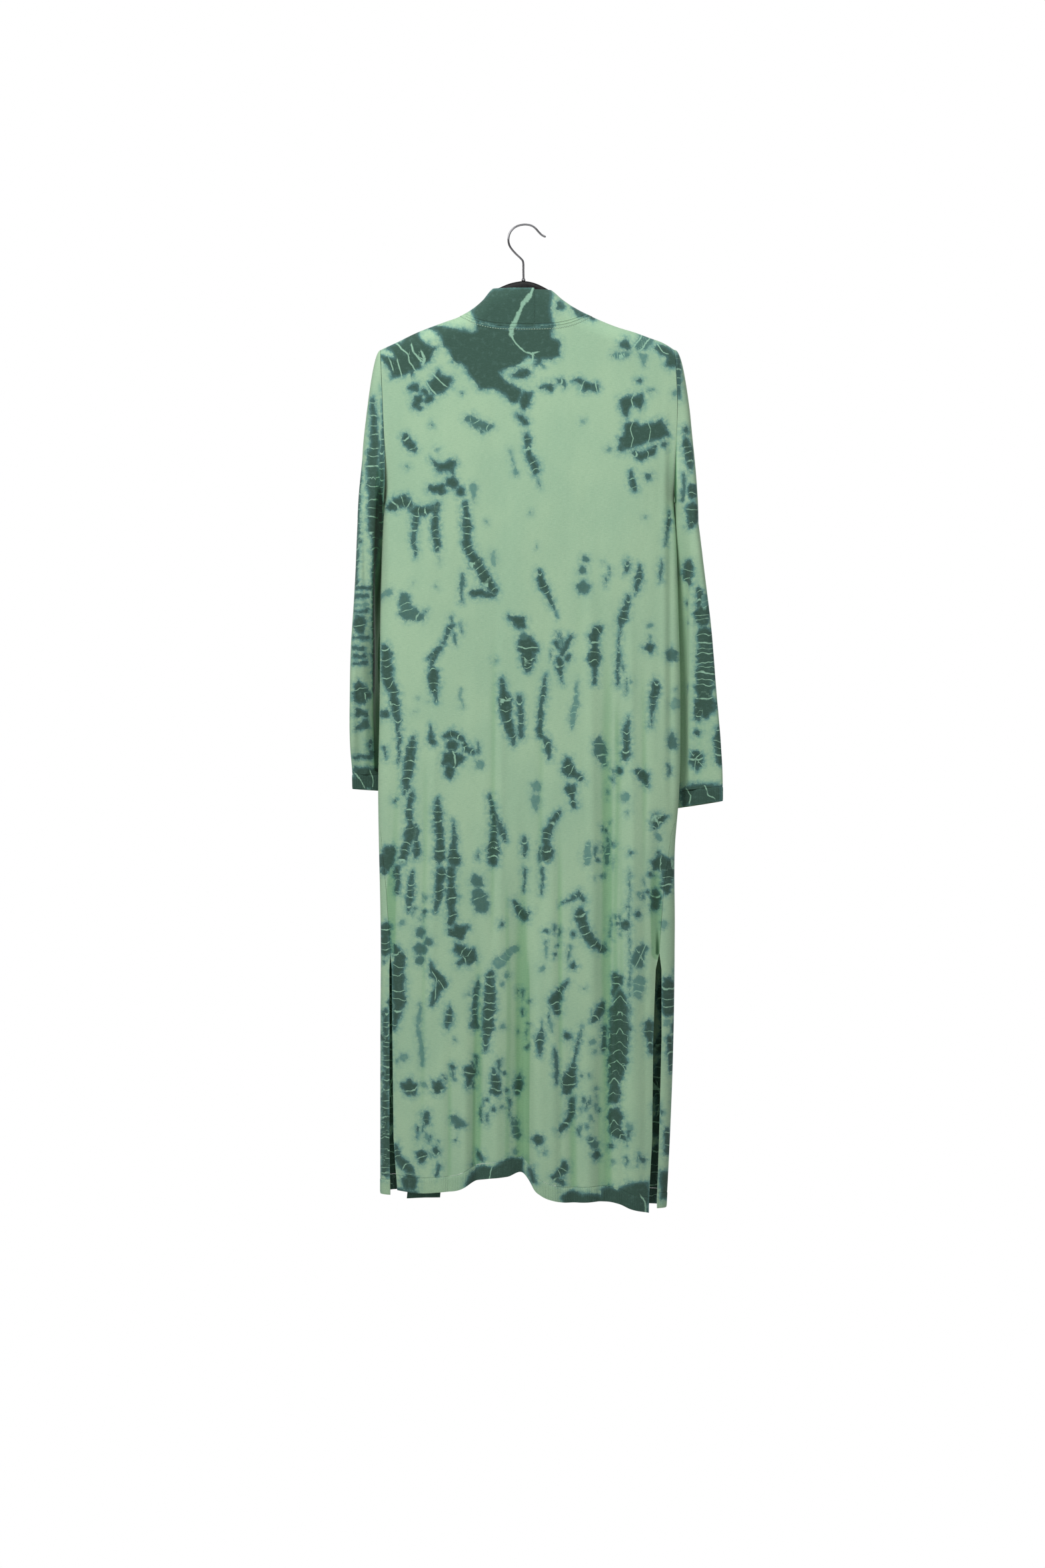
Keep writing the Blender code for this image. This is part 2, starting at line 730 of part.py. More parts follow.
def new_object(name, vertices, faces, finish):
    """A closed mesh as a named object with its own material. The vertices are in millimetres."""
    mesh = bpy.data.meshes.new(name)
    mesh.from_pydata([tuple(float(c) * MM for c in v) for v in vertices], [], faces)
    shape = bmesh.new()
    shape.from_mesh(mesh)
    bmesh.ops.recalc_face_normals(shape, faces=shape.faces)
    shape.to_mesh(mesh)
    shape.free()
    mesh.shade_smooth()
    mesh.set_sharp_from_angle(angle=SHARP_ANGLE)
    item = bpy.data.objects.new(name, mesh)
    bpy.context.scene.collection.objects.link(item)
    mesh.materials.append(new_material(name, finish))
    return item


def new_material(name, finish):
    """A plain material of one finish."""
    colour, roughness, metallic = FINISHES[finish]
    material = bpy.data.materials.new(name)
    material.use_nodes = True
    shader = material.node_tree.nodes["Principled BSDF"]
    shader.inputs["Base Color"].default_value = (*colour, 1)
    shader.inputs["Roughness"].default_value = roughness
    shader.inputs["Metallic"].default_value = metallic
    return material


def wall(name, points, normals, thick, finish, closed=False):
    """A wall of cloth round a middle surface: its outer and inner faces, and the rims between them."""
    count, rows = points.shape[:2]
    outer = points + normals * thick / 2
    inner = points - normals * thick / 2
    vertices = np.concatenate([outer.reshape(-1, 3), inner.reshape(-1, 3)])
    shift = count * rows
    last = count if closed else count - 1
    faces = []
    for i in range(last):
        j = (i + 1) % count
        for k in range(rows - 1):
            a, b, c, d = i * rows + k, j * rows + k, j * rows + k + 1, i * rows + k + 1
            faces.append((a, b, c, d))
            faces.append((a + shift, d + shift, c + shift, b + shift))
        for k in (0, rows - 1):
            a, b = i * rows + k, j * rows + k
            faces.append((a, b, b + shift, a + shift))
    if not closed:
        for i in (0, count - 1):
            for k in range(rows - 1):
                a, b = i * rows + k, i * rows + k + 1
                faces.append((a, b, b + shift, a + shift))
    return new_object(name, vertices, faces, finish)


def rib_strip(name, points, normals, closed=False):
    """A ribbed strip between two rows of points, seam and hem. Its ribs are raised in the outer points, which
    lie evenly between the given ones, and its inner side is plain."""
    count = len(points)
    spans = count if closed else count - 1
    outer, marks = [], []
    for i in range(spans):
        j = (i + 1) % count
        steps = 2 * max(1, round(np.linalg.norm(points[j, 0] - points[i, 0]) / RIB_PITCH))
        marks.append(len(outer))
        for k in range(steps):
            thick = PANEL_WALL / 2 + (RIB_RELIEF if k % 2 else 0.0)
            middle = mixed(points[i], points[j], k / steps)
            outer.append(middle + thick * mixed(normals[i], normals[j], k / steps))
    marks.append(len(outer))
    if not closed:
        outer.append(points[-1] + PANEL_WALL / 2 * normals[-1])
    inner = points - PANEL_WALL / 2 * normals
    vertices = np.concatenate([np.array(outer).reshape(-1, 3), inner.reshape(-1, 3)])
    shift = 2 * len(outer)
    faces = []
    for i in range(marks[-1]):
        a, b = 2 * i, 2 * ((i + 1) % len(outer))
        faces.append((a, b, b + 1, a + 1))
    for i in range(spans):
        a, b = shift + 2 * i, shift + 2 * ((i + 1) % count)
        faces.append((a, a + 1, b + 1, b))
        for row in (0, 1):
            fine = [2 * (k % len(outer)) + row for k in range(marks[i], marks[i + 1] + 1)]
            faces.append((a + row, b + row, *fine[::-1]))
    if not closed:
        last, end = 2 * marks[-1], shift + 2 * (count - 1)
        faces.append((0, 1, shift + 1, shift))
        faces.append((last, end, end + 1, last + 1))
    return new_object(name, vertices, faces, "rib")


def outward(points, normals):
    """The same normals, all pointing away from the middle of the body."""
    from_middle = points[..., :2] * np.array([SIDEWAYS_WEIGHT, 1.0])
    facing = np.sum(from_middle * normals[..., :2])
    return normals if facing > 0 else -normals


def build_back():
    """The back and its rib. Columns are added at the curve of the neck and at the main fold."""
    even = np.linspace(-1.0, 1.0, BACK_COLUMNS + 1)
    middle, half = outline(np.array(SHOULDER_TIP))
    parts = np.array(BAND_BACK_ROWS[4:] + (0.0,))
    at_neck = np.concatenate([NECK_LEFT * (1 - parts), NECK_RIGHT * (1 - parts)])
    neck = turn_of((at_neck - middle) / half)
    at_lip = turn_of((np.array(LIP_COLUMNS) - middle) / half)
    special = np.concatenate([neck, at_lip])
    clear = np.min(np.abs(even[:, None] - special[None, :]), axis=1) > COLUMN_CLEARANCE
    columns = np.sort(np.concatenate([even[clear], special]))
    points, normals = surface(back_point, columns, np.arange(ROWS, dtype=float))
    wall("back", points, outward(points, normals), PANEL_WALL, "jersey")
    points, normals = surface(back_rib_point, columns, np.array([0.0, 1.0]))
    rib_strip("back_rib", points, outward(points, normals))


def build_front(hand):
    """A front, from its side seam to the band, and its rib."""
    name = "front_left" if hand < 0 else "front_right"
    shares = np.linspace(0.0, 1.0, FRONT_COLUMNS + 1)
    points, normals = surface(front_point, shares, np.arange(ROWS, dtype=float), hand)
    wall(name, points, outward(points, normals), PANEL_WALL, "jersey")
    points, normals = surface(front_rib_point, shares, np.array([0.0, 1.0]), hand)
    rib_strip(name + "_rib", points, outward(points, normals))


def build_band(hand):
    """Half of the neck and front band, from the centre back to its ribbed end."""
    widths = np.linspace(0.0, 1.0, BAND_COLUMNS + 1)
    ways = np.concatenate([-np.array(BAND_BACK_ROWS), np.arange(ROWS, dtype=float)])
    points = band_point(*np.meshgrid(widths, ways, indexing="ij"), hand)
    across = np.gradient(points, axis=0)
    along = np.gradient(points, axis=1)
    normals = np.cross(across, along)
    normals = normals / np.linalg.norm(normals, axis=-1, keepdims=True)
    name = "band_left" if hand < 0 else "band_right"
    wall(name, points, outward(points, normals), BAND_WALL, "band")
    points, normals = surface(band_rib_point, widths, np.array([0.0, 1.0]), hand)
    rib_strip(name + "_rib", points, outward(points, normals))


def build_sleeve(hand):
    """A sleeve, open at the armhole and at the wrist, and its ribbed cuff."""
    points, first_normals = sleeve_grid(hand)
    normals = grid_normals(points)
    if np.sum(normals[:, -1] * (points[:, -1] - points[:, -1].mean(axis=0))) < 0:
        normals = -normals
    normals[:, 0] = first_normals
    name = "left" if hand < 0 else "right"
    wall("sleeve_" + name, points, normals, PANEL_WALL, "jersey", closed=True)
    top = SLEEVE_ROWS[hand][-1] - SEAM_GAP
    angles = np.array([angle for angle, _ in armhole_loop(hand)])
    ring = sleeve_ring(angles[:, None], np.array([top, top - CUFF_HEIGHT])[None, :], hand)
    facing = grid_normals(ring)
    if np.sum(facing[:, 0] * (ring[:, 0] - ring[:, 0].mean(axis=0))) < 0:
        facing = -facing
    rib_strip("cuff_" + name, ring, facing, closed=True)


def build_hanger():
    """Upright oval sections along the arch, close under the top line of the cloth."""
    first, last = HANGER["x"][0], HANGER["x"][-1]
    between = np.arange(first + HANGER_SPACING, last - HANGER_SPACING / 2, HANGER_SPACING)
    stations = np.concatenate([[first, first + 3], between, [last - 3, last]])
    angles = np.arange(HANGER_SIDES) * 2 * math.pi / HANGER_SIDES
    up = np.sin(angles)
    vertices = []
    for x in stations:
        below = np.interp(x, HANGER["x"], HANGER["below"])
        tall = np.interp(x, HANGER["x"], HANGER["height"])
        thick = np.interp(x, HANGER["x"], HANGER["thick"])
        middle = float(ridge(x)) - below - tall / 2
        for a, b in zip(np.cos(angles), up):
            vertices.append((x, a * thick / 2, middle + b * tall / 2))
    faces = [tuple(range(HANGER_SIDES)), tuple(len(vertices) - 1 - k for k in range(HANGER_SIDES))]
    for i in range(len(stations) - 1):
        for k in range(HANGER_SIDES):
            m = (k + 1) % HANGER_SIDES
            a, b = i * HANGER_SIDES, (i + 1) * HANGER_SIDES
            faces.append((a + k, a + m, b + m, b + k))
    new_object("hanger", vertices, faces, "plastic")


def build_hook():
    """The wire as a round tube along a smooth curve, and the small collar that it stands in."""
    count = len(HOOK_ROUTE["x"])
    at = np.linspace(0.0, count - 1, (count - 1) * HOOK_STEPS + 1)
    places = np.arange(count, dtype=float)
    x = curve(at, places, HOOK_ROUTE["x"])
    z = curve(at, places, HOOK_ROUTE["z"])
    line = bpy.data.curves.new("hook", "CURVE")
    line.dimensions = "3D"
    line.bevel_depth = WIRE_RADIUS * MM
    line.bevel_resolution = WIRE_BEVEL_RESOLUTION
    line.use_fill_caps = True
    spline = line.splines.new("POLY")
    spline.points.add(len(at) - 1)
    for point, px, pz in zip(spline.points, x, z):
        point.co = (px * MM, 0.0, pz * MM, 1.0)
    item = bpy.data.objects.new("hook", line)
    bpy.context.scene.collection.objects.link(item)
    line.materials.append(new_material("hook", "chrome"))
    head = float(HOOK_ROUTE["z"][0]) - SEAM_GAP
    shape = bmesh.new()
    bmesh.ops.create_cone(
        shape,
        cap_ends=True,
        segments=HOOK_COLLAR_SIDES,
        radius1=HOOK_COLLAR_RADIUS * MM,
        radius2=HOOK_COLLAR_RADIUS * MM,
        depth=(head - HOOK_COLLAR_FOOT) * MM,
    )
    mesh = bpy.data.meshes.new("hook_collar")
    shape.to_mesh(mesh)
    shape.free()
    collar = bpy.data.objects.new("hook_collar", mesh)
    collar.location = (HOOK_FOOT_X * MM, 0.0, (head + HOOK_COLLAR_FOOT) / 2 * MM)
    bpy.context.scene.collection.objects.link(collar)
    mesh.materials.append(new_material("hook_collar", "chrome"))


def build_all():
    """Empties the scene and builds every piece."""
    for item in list(bpy.data.objects):
        bpy.data.objects.remove(item, do_unlink=True)
    build_back()
    for hand in (LEFT, RIGHT):
        build_front(hand)
        build_band(hand)
        build_sleeve(hand)
    build_hanger()
    build_hook()


build_all()
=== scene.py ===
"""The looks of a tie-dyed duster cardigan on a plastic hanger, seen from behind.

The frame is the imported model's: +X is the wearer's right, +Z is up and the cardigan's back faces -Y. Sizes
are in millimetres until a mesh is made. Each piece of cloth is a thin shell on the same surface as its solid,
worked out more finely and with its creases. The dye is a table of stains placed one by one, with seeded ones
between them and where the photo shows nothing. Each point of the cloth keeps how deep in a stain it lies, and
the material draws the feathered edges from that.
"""

import math

import bmesh
import bpy
import numpy as np
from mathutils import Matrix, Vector


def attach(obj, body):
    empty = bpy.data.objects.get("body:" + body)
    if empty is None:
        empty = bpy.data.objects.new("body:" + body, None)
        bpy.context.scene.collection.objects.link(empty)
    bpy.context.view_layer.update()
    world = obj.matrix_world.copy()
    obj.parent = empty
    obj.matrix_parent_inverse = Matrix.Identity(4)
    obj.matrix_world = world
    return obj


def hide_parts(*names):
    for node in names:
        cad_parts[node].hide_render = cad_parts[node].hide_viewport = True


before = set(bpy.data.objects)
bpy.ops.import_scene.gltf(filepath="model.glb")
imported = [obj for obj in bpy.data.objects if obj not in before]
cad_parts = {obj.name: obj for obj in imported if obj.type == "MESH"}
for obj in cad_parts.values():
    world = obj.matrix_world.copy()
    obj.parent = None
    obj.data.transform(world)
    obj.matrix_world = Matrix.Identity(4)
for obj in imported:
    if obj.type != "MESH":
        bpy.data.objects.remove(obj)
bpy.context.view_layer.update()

MM = 0.001
BACK = -1.0
FRONT = 1.0
LEFT = -1.0
RIGHT = 1.0

# Walls and seams. The shell's outer side lies where the solid's does, and its inner side closer to it.
PANEL_WALL = 2.0
OUTER = 1.0
INNER = 0.3
BAND_OUTER = 1.3
BAND_INNER = 0.5
SEAM_GAP = 0.3
SEAM_HALF = SEAM_GAP / 2

# The distance between a shell's points, across and down the cloth
ACROSS_STEP = 2.5
DOWN_STEP = 2.9

# The knitted ribs
RIB_HEIGHT = 22.0
RIB_PITCH = 2.5
RIB_RELIEF = 0.7
RIB_POINTS = 5
RIB_ROWS = 9

# The body's cross-section
ROUNDING = 3.2
TYPICAL_HALF_WIDTH = 208.0
TYPICAL_HALF_DEPTH = 27.0
SECTION_SAMPLES = 2001
SHOULDER_ROUND = 28.0

# Heights
SHOULDER_TIP = -178.3
UNDERARM = -395.0
SEAM_TURNS = -818.0
STRAIGHT_FROM = -420.0
STRAIGHT_TO = -1300.0
HEM_READ_AT = -1372.0

# The neck
BAND_SEAM_X = 12.4
NECK_LOW = -150.6
NECK_RISE = 20.0
NECK_POWER = 3.4
NECK_LEFT = -93.0
NECK_RIGHT = 95.0
ARMHOLE_DEPTH = 0.72


def table(columns, rows):
    """Rows of numbers as a dict of named columns."""
    values = np.array(rows, dtype=float)
    return {name: values[:, k] for k, name in enumerate(columns.split())}


# The body's outline from behind
OUTLINE = table(
    "z left right",
    [
        (-178, -206.0, 212.0),
        (-250, -203.0, 215.5),
        (-333, -199.5, 213.5),
        (-395, -200.5, 211.0),
        (-447, -203.0, 214.0),
        (-530, -205.5, 216.6),
        (-685, -207.0, 220.0),
        (-818, -209.0, 217.6),
        (-880, -208.0, 212.5),
        (-1000, -205.5, 212.0),
        (-1160, -205.8, 210.0),
        (-1300, -206.0, 205.0),
        (-1400, -206.0, 200.0),
    ],
)
HALF_DEPTH = table(
    "z depth",
    [(-90, 19.0), (-180, 20.0), (-395, 24.0), (-700, 27.0), (-1000, 31.0), (-1400, 37.0)],
)

# The top line of the cloth over the hanger
RIDGE = table(
    "x z",
    [
        (-206, -178.3),
        (-185, -168.6),
        (-154, -153.6),
        (-114, -138.4),
        (-93, -130.6),
        (-77, -121.5),
        (-60, -107.5),
        (-46.5, -91.7),
        (-36, -88.0),
        (-20, -80.6),
        (-3, -77.7),
        (14, -80.6),
        (29, -89.0),
        (37, -94.0),
        (53, -107.5),
        (75, -121.5),
        (95, -131.2),
        (131, -146.0),
        (156, -153.6),
        (176, -161.0),
        (197, -169.0),
        (212, -178.3),
    ],
)

# The side seams and slits: the back's edges and the edges of the fronts beside them
SIDE_EDGES = table(
    "z back_left front_left back_right front_right",
    [
        (-880, -204.0, -204.0, 205.0, 205.0),
        (-950, -197.5, -197.5, 196.0, 196.0),
        (-1037, -192.0, -192.0, 190.0, 190.0),
        (-1060, -189.8, -193.2, 184.5, 193.0),
        (-1160, -189.0, -193.0, 180.8, 193.0),
        (-1300, -187.0, -193.0, 179.4, 189.5),
        (-1372, -181.8, -192.0, 175.5, 187.0),
        (-1400, -181.4, -192.0, 174.8, 187.0),
    ],
)
BACK_HEM = table(
    "x z",
    [
        (-182, -1372.8),
        (-148, -1376.1),
        (-118, -1373.7),
        (-92, -1370.0),
        (-72, -1359.0),
        (-54, -1355.4),
        (-26, -1352.6),
        (-1, -1350.0),
        (7, -1360.0),
        (13, -1370.4),
        (22, -1378.0),
        (42, -1386.0),
        (75, -1388.4),
        (109, -1387.8),
        (133, -1391.3),
        (150, -1398.5),
        (175, -1404.3),
    ],
)
BAND_EDGES = table(
    "z left_seam left_free right_seam right_free",
    [
        (-90, -93.0, -46.5, 95.0, 37.0),
        (-131, -93.0, -46.5, 95.0, 37.0),
        (-250, -98.0, -51.0, 94.0, 38.0),
        (-400, -108.0, -60.0, 92.0, 40.0),
        (-800, -124.0, -77.0, 90.0, 42.0),
        (-1150, -149.0, -102.0, 89.0, 43.5),
        (-1400, -171.0, -123.5, 88.0, 44.0),
    ],
)
FRONT_HEM = {LEFT: (-1380.0, -1377.0), RIGHT: (-1399.0, -1395.0)}
BAND_HEM = {LEFT: -1391.0, RIGHT: -1396.0}

# The large folds, as in the solids. A trough's depth is positive, into the cardigan.
BACK_FOLDS = table(
    "x_top x_hem z_start z_full half_width depth",
    [
        (-95, -100, -850, -1300, 46, -5.0),
        (-60, -68, -920, -1250, 12, 7.0),
        (-52, -42, -980, -1300, 9, -3.0),
        (-8, -4, -840, -1230, 17, 15.0),
        (58, 66, -1120, -1320, 10, 4.5),
        (118, 116, -520, -950, 14, 9.0),
        (186, 187, -800, -960, 9, 6.0),
        (-187, -189, -700, -900, 9, 5.0),
    ],
)
FRONT_FOLDS = table(
    "x_top x_hem z_start z_full half_width depth",
    [
        (-160, -172, -420, -1000, 15, -6.0),
        (-136, -188, -600, -1100, 12, 5.0),
        (180, 176, -420, -900, 18, -7.0),
        (148, 150, -520, -1000, 15, 8.0),
        (120, 122, -600, -1100, 14, -6.0),
    ],
)
BACK_LIPS = table(
    "x_top x_hem z_start z_full edge reach depth",
    [(6, 8, -900, -1200, 3.5, 60, -15.0), (148, 148, -640, -1000, 4.0, 26, -7.0)],
)

# The rows of a panel, as drops below its top edge down to the straight part, and then as heights
TOP_DROPS = (0.0, 0.8, 2.6, 5.6, 10.5, 17.5, 28.0, 45.0, 70.0, 100.0, 140.0, 180.0, 204.0, 216.7)
STRAIGHT_ROWS = (
    *(-447, -500, -560, -620, -685, -750, -818, -880, -950),
    *(-1037, -1060, -1110, -1170, -1235, -1300),
)
BAND_BACK_ROWS = (1.0, 0.82, 0.64, 0.48, 0.34, 0.24, 0.16, 0.10, 0.055, 0.024, 0.0065)

SLEEVE_RINGS = {
    LEFT: table(
        "z outer y half_long half_short turn tilt",
        [
            (-425, 238.5, 27, 52, 17.0, 70, 0),
            (-514, 242.0, 27, 50, 15.0, 74, 0),
            (-590, 247.0, 27, 49, 14.0, 75, 0),
            (-666, 249.0, 28, 48, 13.0, 71, 0),
            (-742, 249.0, 30, 46, 11.5, 60, 0),
            (-783, 246.5, 32, 44, 10.0, 47, 1),
            (-806, 246.0, 32, 43, 9.0, 43, 2),
        ],
    ),
    RIGHT: table(
        "z outer y half_long half_short turn tilt",
        [
            (-425, 246.0, 25, 52, 14.0, 76, 0),
            (-514, 256.5, 25, 51, 14.0, 70, 0),
            (-590, 265.0, 25, 50, 14.0, 62, 0),
            (-666, 270.5, 25, 50, 13.5, 57, 0),
            (-742, 277.0, 24, 50, 12.0, 49, 2),
            (-803, 280.0, 23, 49, 10.0, 42, 5),
            (-827, 280.0, 23, 48, 9.0, 41, 6),
        ],
    ),
}
SLEEVE_ENDS = {LEFT: -783.5, RIGHT: -804.5}
CUFF_HEIGHT = 22.0
CAP_ROWS = 64
CAP_REACH = 17.0
UNDERARM_REACH = 6.0
CAP_DROP = 0.35
BEND_FROM = 0.3
SLEEVE_COLUMNS = 96

HANGER = table(
    "x below height thick",
    [
        (-204, 4.0, 8, 6),
        (-201, 2.2, 14, 10),
        (-185, 1.5, 18, 12),
        (-114, 1.5, 21, 12),
        (-97, 1.7, 24, 12),
        (-88, 2.1, 25, 12),
        (-55, 3.2, 29, 12),
        (-46.5, 2.8, 30, 12),
        (-38, 2.8, 32, 12),
        (-3, 1.3, 36, 12),
        (30, 2.8, 32, 12),
        (37, 2.8, 30, 12),
        (53, 3.0, 28, 12),
        (88, 2.1, 25, 12),
        (97, 1.7, 24, 12),
        (114, 1.5, 21, 12),
        (185, 1.5, 18, 12),
        (201, 2.2, 14, 10),
        (204, 4.0, 8, 6),
    ],
)

WIRE_RADIUS = 1.5
HOOK_ROUTE = table(
    "x z",
    [
        (-2.7, -76.0),
        (-2.9, -64.0),
        (-3.3, -52.0),
        (-6.7, -46.8),
        (-15.2, -38.6),
        (-21.9, -30.0),
        (-24.2, -21.5),
        (-22.6, -11.5),
        (-17.0, -4.0),
        (-9.5, 0.1),
        (0.0, 1.5),
        (8.4, 0.0),
        (14.0, -3.6),
        (19.0, -9.2),
        (23.6, -13.6),
        (29.1, -16.3),
    ],
)

# Sizes of the finer pieces
CUFF_LENGTH = 190.0
HANGER_SIDES = 28
SLEEVE_SOFTNESS = 0.8
SLEEVE_SWING = 14.0
SLEEVE_SWING_FROM = -300.0
VALLEY_REACH = 7
# The painted shade of a narrow crease line grows over this length below its top
CREASE_SHADE_START = 90.0
HUMP_RISE = 2.6
HUMP_AT = 34.0
HUMP_REACH = 14.0
SWING_GROWTH = 120.0
RIB_INNER = INNER + 0.6
RIB_SINK = 0.35
FRONT_WIDTH = 150.0
FRONT_RIB_WIDTH = 140.0
BAND_RIB_WIDTH = 48.0
BAND_COLUMNS = 21
BAND_BACK_LENGTH = 105.0
ARM_TOP = -0.003
HANGER_TIP = 204.0
HANGER_SQUARENESS = 0.8
HANGER_MIDDLE = -1.5
HOOK_STATIONS = 160
HOOK_SIDES = 24
HOOK_END_SHARES = (1.0, 0.97, 0.85, 0.55)

# The hook's collar, turned about its wire
COLLAR_SIDES = 28
COLLAR = table(
    "z radius",
    [
        (-79.2, 2.6),
        (-78.6, 2.9),
        (-77.6, 2.95),
        (-76.9, 2.7),
        (-76.5, 2.1),
        (-75.6, 2.2),
        (-75.2, 1.6),
    ],
)

# The chain stitch along the neckline, and the low ridges above it
STITCH_LENGTH = 2.4
STITCH_GAP = 1.3
STITCH_RADIUS = 0.5
STITCH_OUT = 1.3
STITCH_SIDES = 6
STITCH_SWELL = (0.5, 0.95, 1.0, 0.95, 0.5)
STITCH_DIP = (0.9, 0.1, 0.0, 0.1, 0.9)
RIDGES_ABOVE = (4.6, 8.6)
RIDGE_RADIUS = 0.75
RIDGE_OUT = 1.15
RIDGE_SIDES = 8
CENTRE_SEAM_TOP = -93.5
CENTRE_SEAM_RADIUS = 0.7
CENTRE_SEAM_OUT = 1.1

# The studio, in metres and watts
LENS = 70.0
CAMERA_PLACE = (-0.0042, -4.3495, -0.7966)
FLOOR_HEIGHT = -2.05
FLOOR_CORNERS = [(-6.0, -7.5), (6.0, -7.5), (6.0, 0.45), (-6.0, 0.45)]
SKY_STRENGTH = 0.29
KEY_PLACE = (-1.6, -2.45, 1.3)
KEY_POWER = 60.0
FILL_POWER = 8.0
TOP_POWER = 30.0
FRONT_POWER = 75.0
FLOOR_GLOW = 0.62
WHITE = (1.0, 1.0, 1.0, 1.0)
SENSOR = 36.0
CLIP_END = 50.0

# Painted shade along narrow folds and gaps on the back side, dark lines in the cloth's colour that don't
# change its shape: the line's points, half its width, its depth
CREASE_SHADE_LINES = {
    "back_panel": [
        ([(184, -890), (185, -960), (187, -1037)], 10.0, 5.5),
        ([(186, -950), (187, -1037)], 5.0, 10.0),
        ([(-188, -882), (-191, -960), (-191, -1030)], 8.0, 5.0),
        ([(3, -1010), (4, -1150), (3, -1300), (5, -1415)], 4.0, 3.6),
        ([(128, -640), (131, -800), (127, -1000), (130, -1200)], 5.0, 1.6),
        ([(-28, -900), (-24, -1100), (-27, -1350)], 5.0, 1.4),
    ],
    "sleeve_left_panel": [
        ([(-206, -330), (-210, -440), (-213, -520), (-214, -700), (-212, -775)], 6.5, 15.0),
    ],
    "sleeve_right_panel": [([(212, -191), (213, -400), (214, -600), (215, -810)], 3.0, 11.0)],
}

# The flat cut of each piece of cloth: its width and length in metres, and its area in square metres
CUTS = {
    "back_panel": (0.440, 1.260, 0.505),
    "back_hem_rib": (0.375, 0.023, 0.0083),
    "front_left_panel": (0.125, 1.240, 0.120),
    "front_left_hem_rib": (0.078, 0.023, 0.0017),
    "neck_band_left": (0.048, 1.430, 0.067),
    "neck_band_left_rib": (0.049, 0.023, 0.00108),
    "front_right_panel": (0.165, 1.260, 0.180),
    "front_right_hem_rib": (0.150, 0.023, 0.0033),
    "neck_band_right": (0.050, 1.430, 0.068),
    "neck_band_right_rib": (0.045, 0.023, 0.00100),
    "sleeve_left_panel": (0.185, 0.620, 0.104),
    "cuff_left_rib": (0.181, 0.022, 0.0039),
    "sleeve_right_panel": (0.200, 0.645, 0.110),
    "cuff_right_rib": (0.200, 0.022, 0.0043),
}

# The dye's colours as they look on a screen
GROUND_A = (174, 207, 172)
GROUND_B = (166, 201, 168)
GROUND_STREAK = (132, 176, 146)
GROUND_PALE = (194, 222, 190)
WASH = (116, 166, 154)
HALO = (92, 140, 138)
DARK_EDGE = (74, 112, 108)
DARK_CORE = (60, 90, 78)
DARK_FLECK = (88, 122, 112)
PALE_LINE = (156, 200, 174)
FAINT = (92, 143, 137)
THREAD_DARK = (150, 186, 160)
THREAD_PALE = (186, 214, 190)
PLASTIC_DARK = (0.004, 0.004, 0.0045, 1.0)
PLASTIC_PALE = (0.009, 0.009, 0.01, 1.0)
WIRE_DARK = (0.16, 0.16, 0.17, 1.0)
WIRE_PALE = (0.30, 0.30, 0.31, 1.0)

# Where a stain is out of reach, its depth is this many millimetres below nothing
DEEPEST = 14.0

# How steeply the pale rungs of a chevron chain rise to its middle
CHEVRON = 0.9

# How deep a chain is pinched at each rung, and how uneven its beads are, as shares of its radius
PINCH = 0.22
BEAD_UNEVENNESS = 0.16
SPOKES = 5
SPOKE_DEPTH = 0.09

# The seeded stains of the sides that the photo doesn't show: seed, count, lowest and highest u, top and
# lower z. Specks are the small marks between the placed stains.
BODY_SPECKS = [(9, 110, -195.0, 195.0, -880.0, -1350.0), (10, 22, -190.0, 195.0, -330.0, -880.0)]
FRONT_STAINS = [(3, 100, -430.0, -224.0, -150.0, -1390.0), (4, 100, 238.0, 430.0, -150.0, -1390.0)]
SLEEVE_STAINS = {
    LEFT: (5, 20, -345.0, -262.0, -230.0, -780.0),
    RIGHT: (6, 20, 300.0, 372.0, -230.0, -800.0),
}

# Painted shade: the colours that darken the cloth's colour deep in a fold, and nearly to black in a narrow
# gap
FOLD_SHADE_TINT = (0.68, 0.82, 0.70, 1.0)
GAP_SHADE_TINT = (0.15, 0.25, 0.19, 1.0)

# Edges sharper than this stay sharp in the shading
SHARP_ANGLE = math.radians(50)

# Small creases: u is x on the side seen from behind, and runs on round the side edges to the fronts.
# Each goes from a top point to a lower one, with a half width and a depth, positive inward.
BACK_CREASES = [
    (-208, -225, -200, -620, 5, 4.0),
    (-200, -235, -192, -560, 6, -2.2),
    (205, -240, 206, -900, 5, 4.5),
    (198, -230, 197, -800, 5, -2.0),
    (-178, -640, -183, -1420, 7, 1.8),
    (-141, -700, -146, -1330, 6, 1.6),
    (-128, -640, -133, -1180, 5, -1.3),
    (-44, -560, -48, -1120, 6, 1.5),
    (-33, -560, -36, -1100, 5, -1.2),
    (23, -620, 20, -1080, 6, 1.3),
    (36, -760, 40, -1500, 7, -1.5),
    (48, -820, 50, -1500, 5, 1.6),
    (92, -420, 96, -1200, 7, -1.8),
    (134, -560, 138, -1500, 5, 2.2),
    (150, -480, 152, -1250, 5, -1.6),
    (168, -560, 170, -1500, 7, 2.6),
    (-70, -1130, -73, -1600, 5, 2.6),
    (-84, -1150, -88, -1600, 6, -2.0),
    (88, -1130, 90, -1600, 7, -2.0),
    (103, -1150, 104, -1600, 5, 2.0),
    (-118, -1120, -120, -1600, 7, -1.6),
    (-108, -1120, -108, -1600, 5, 1.6),
    (-160, -1130, -163, -1600, 6, -1.6),
    (-150, -195, -120, -330, 9, 0.9),
    (150, -190, 176, -300, 8, 1.0),
]
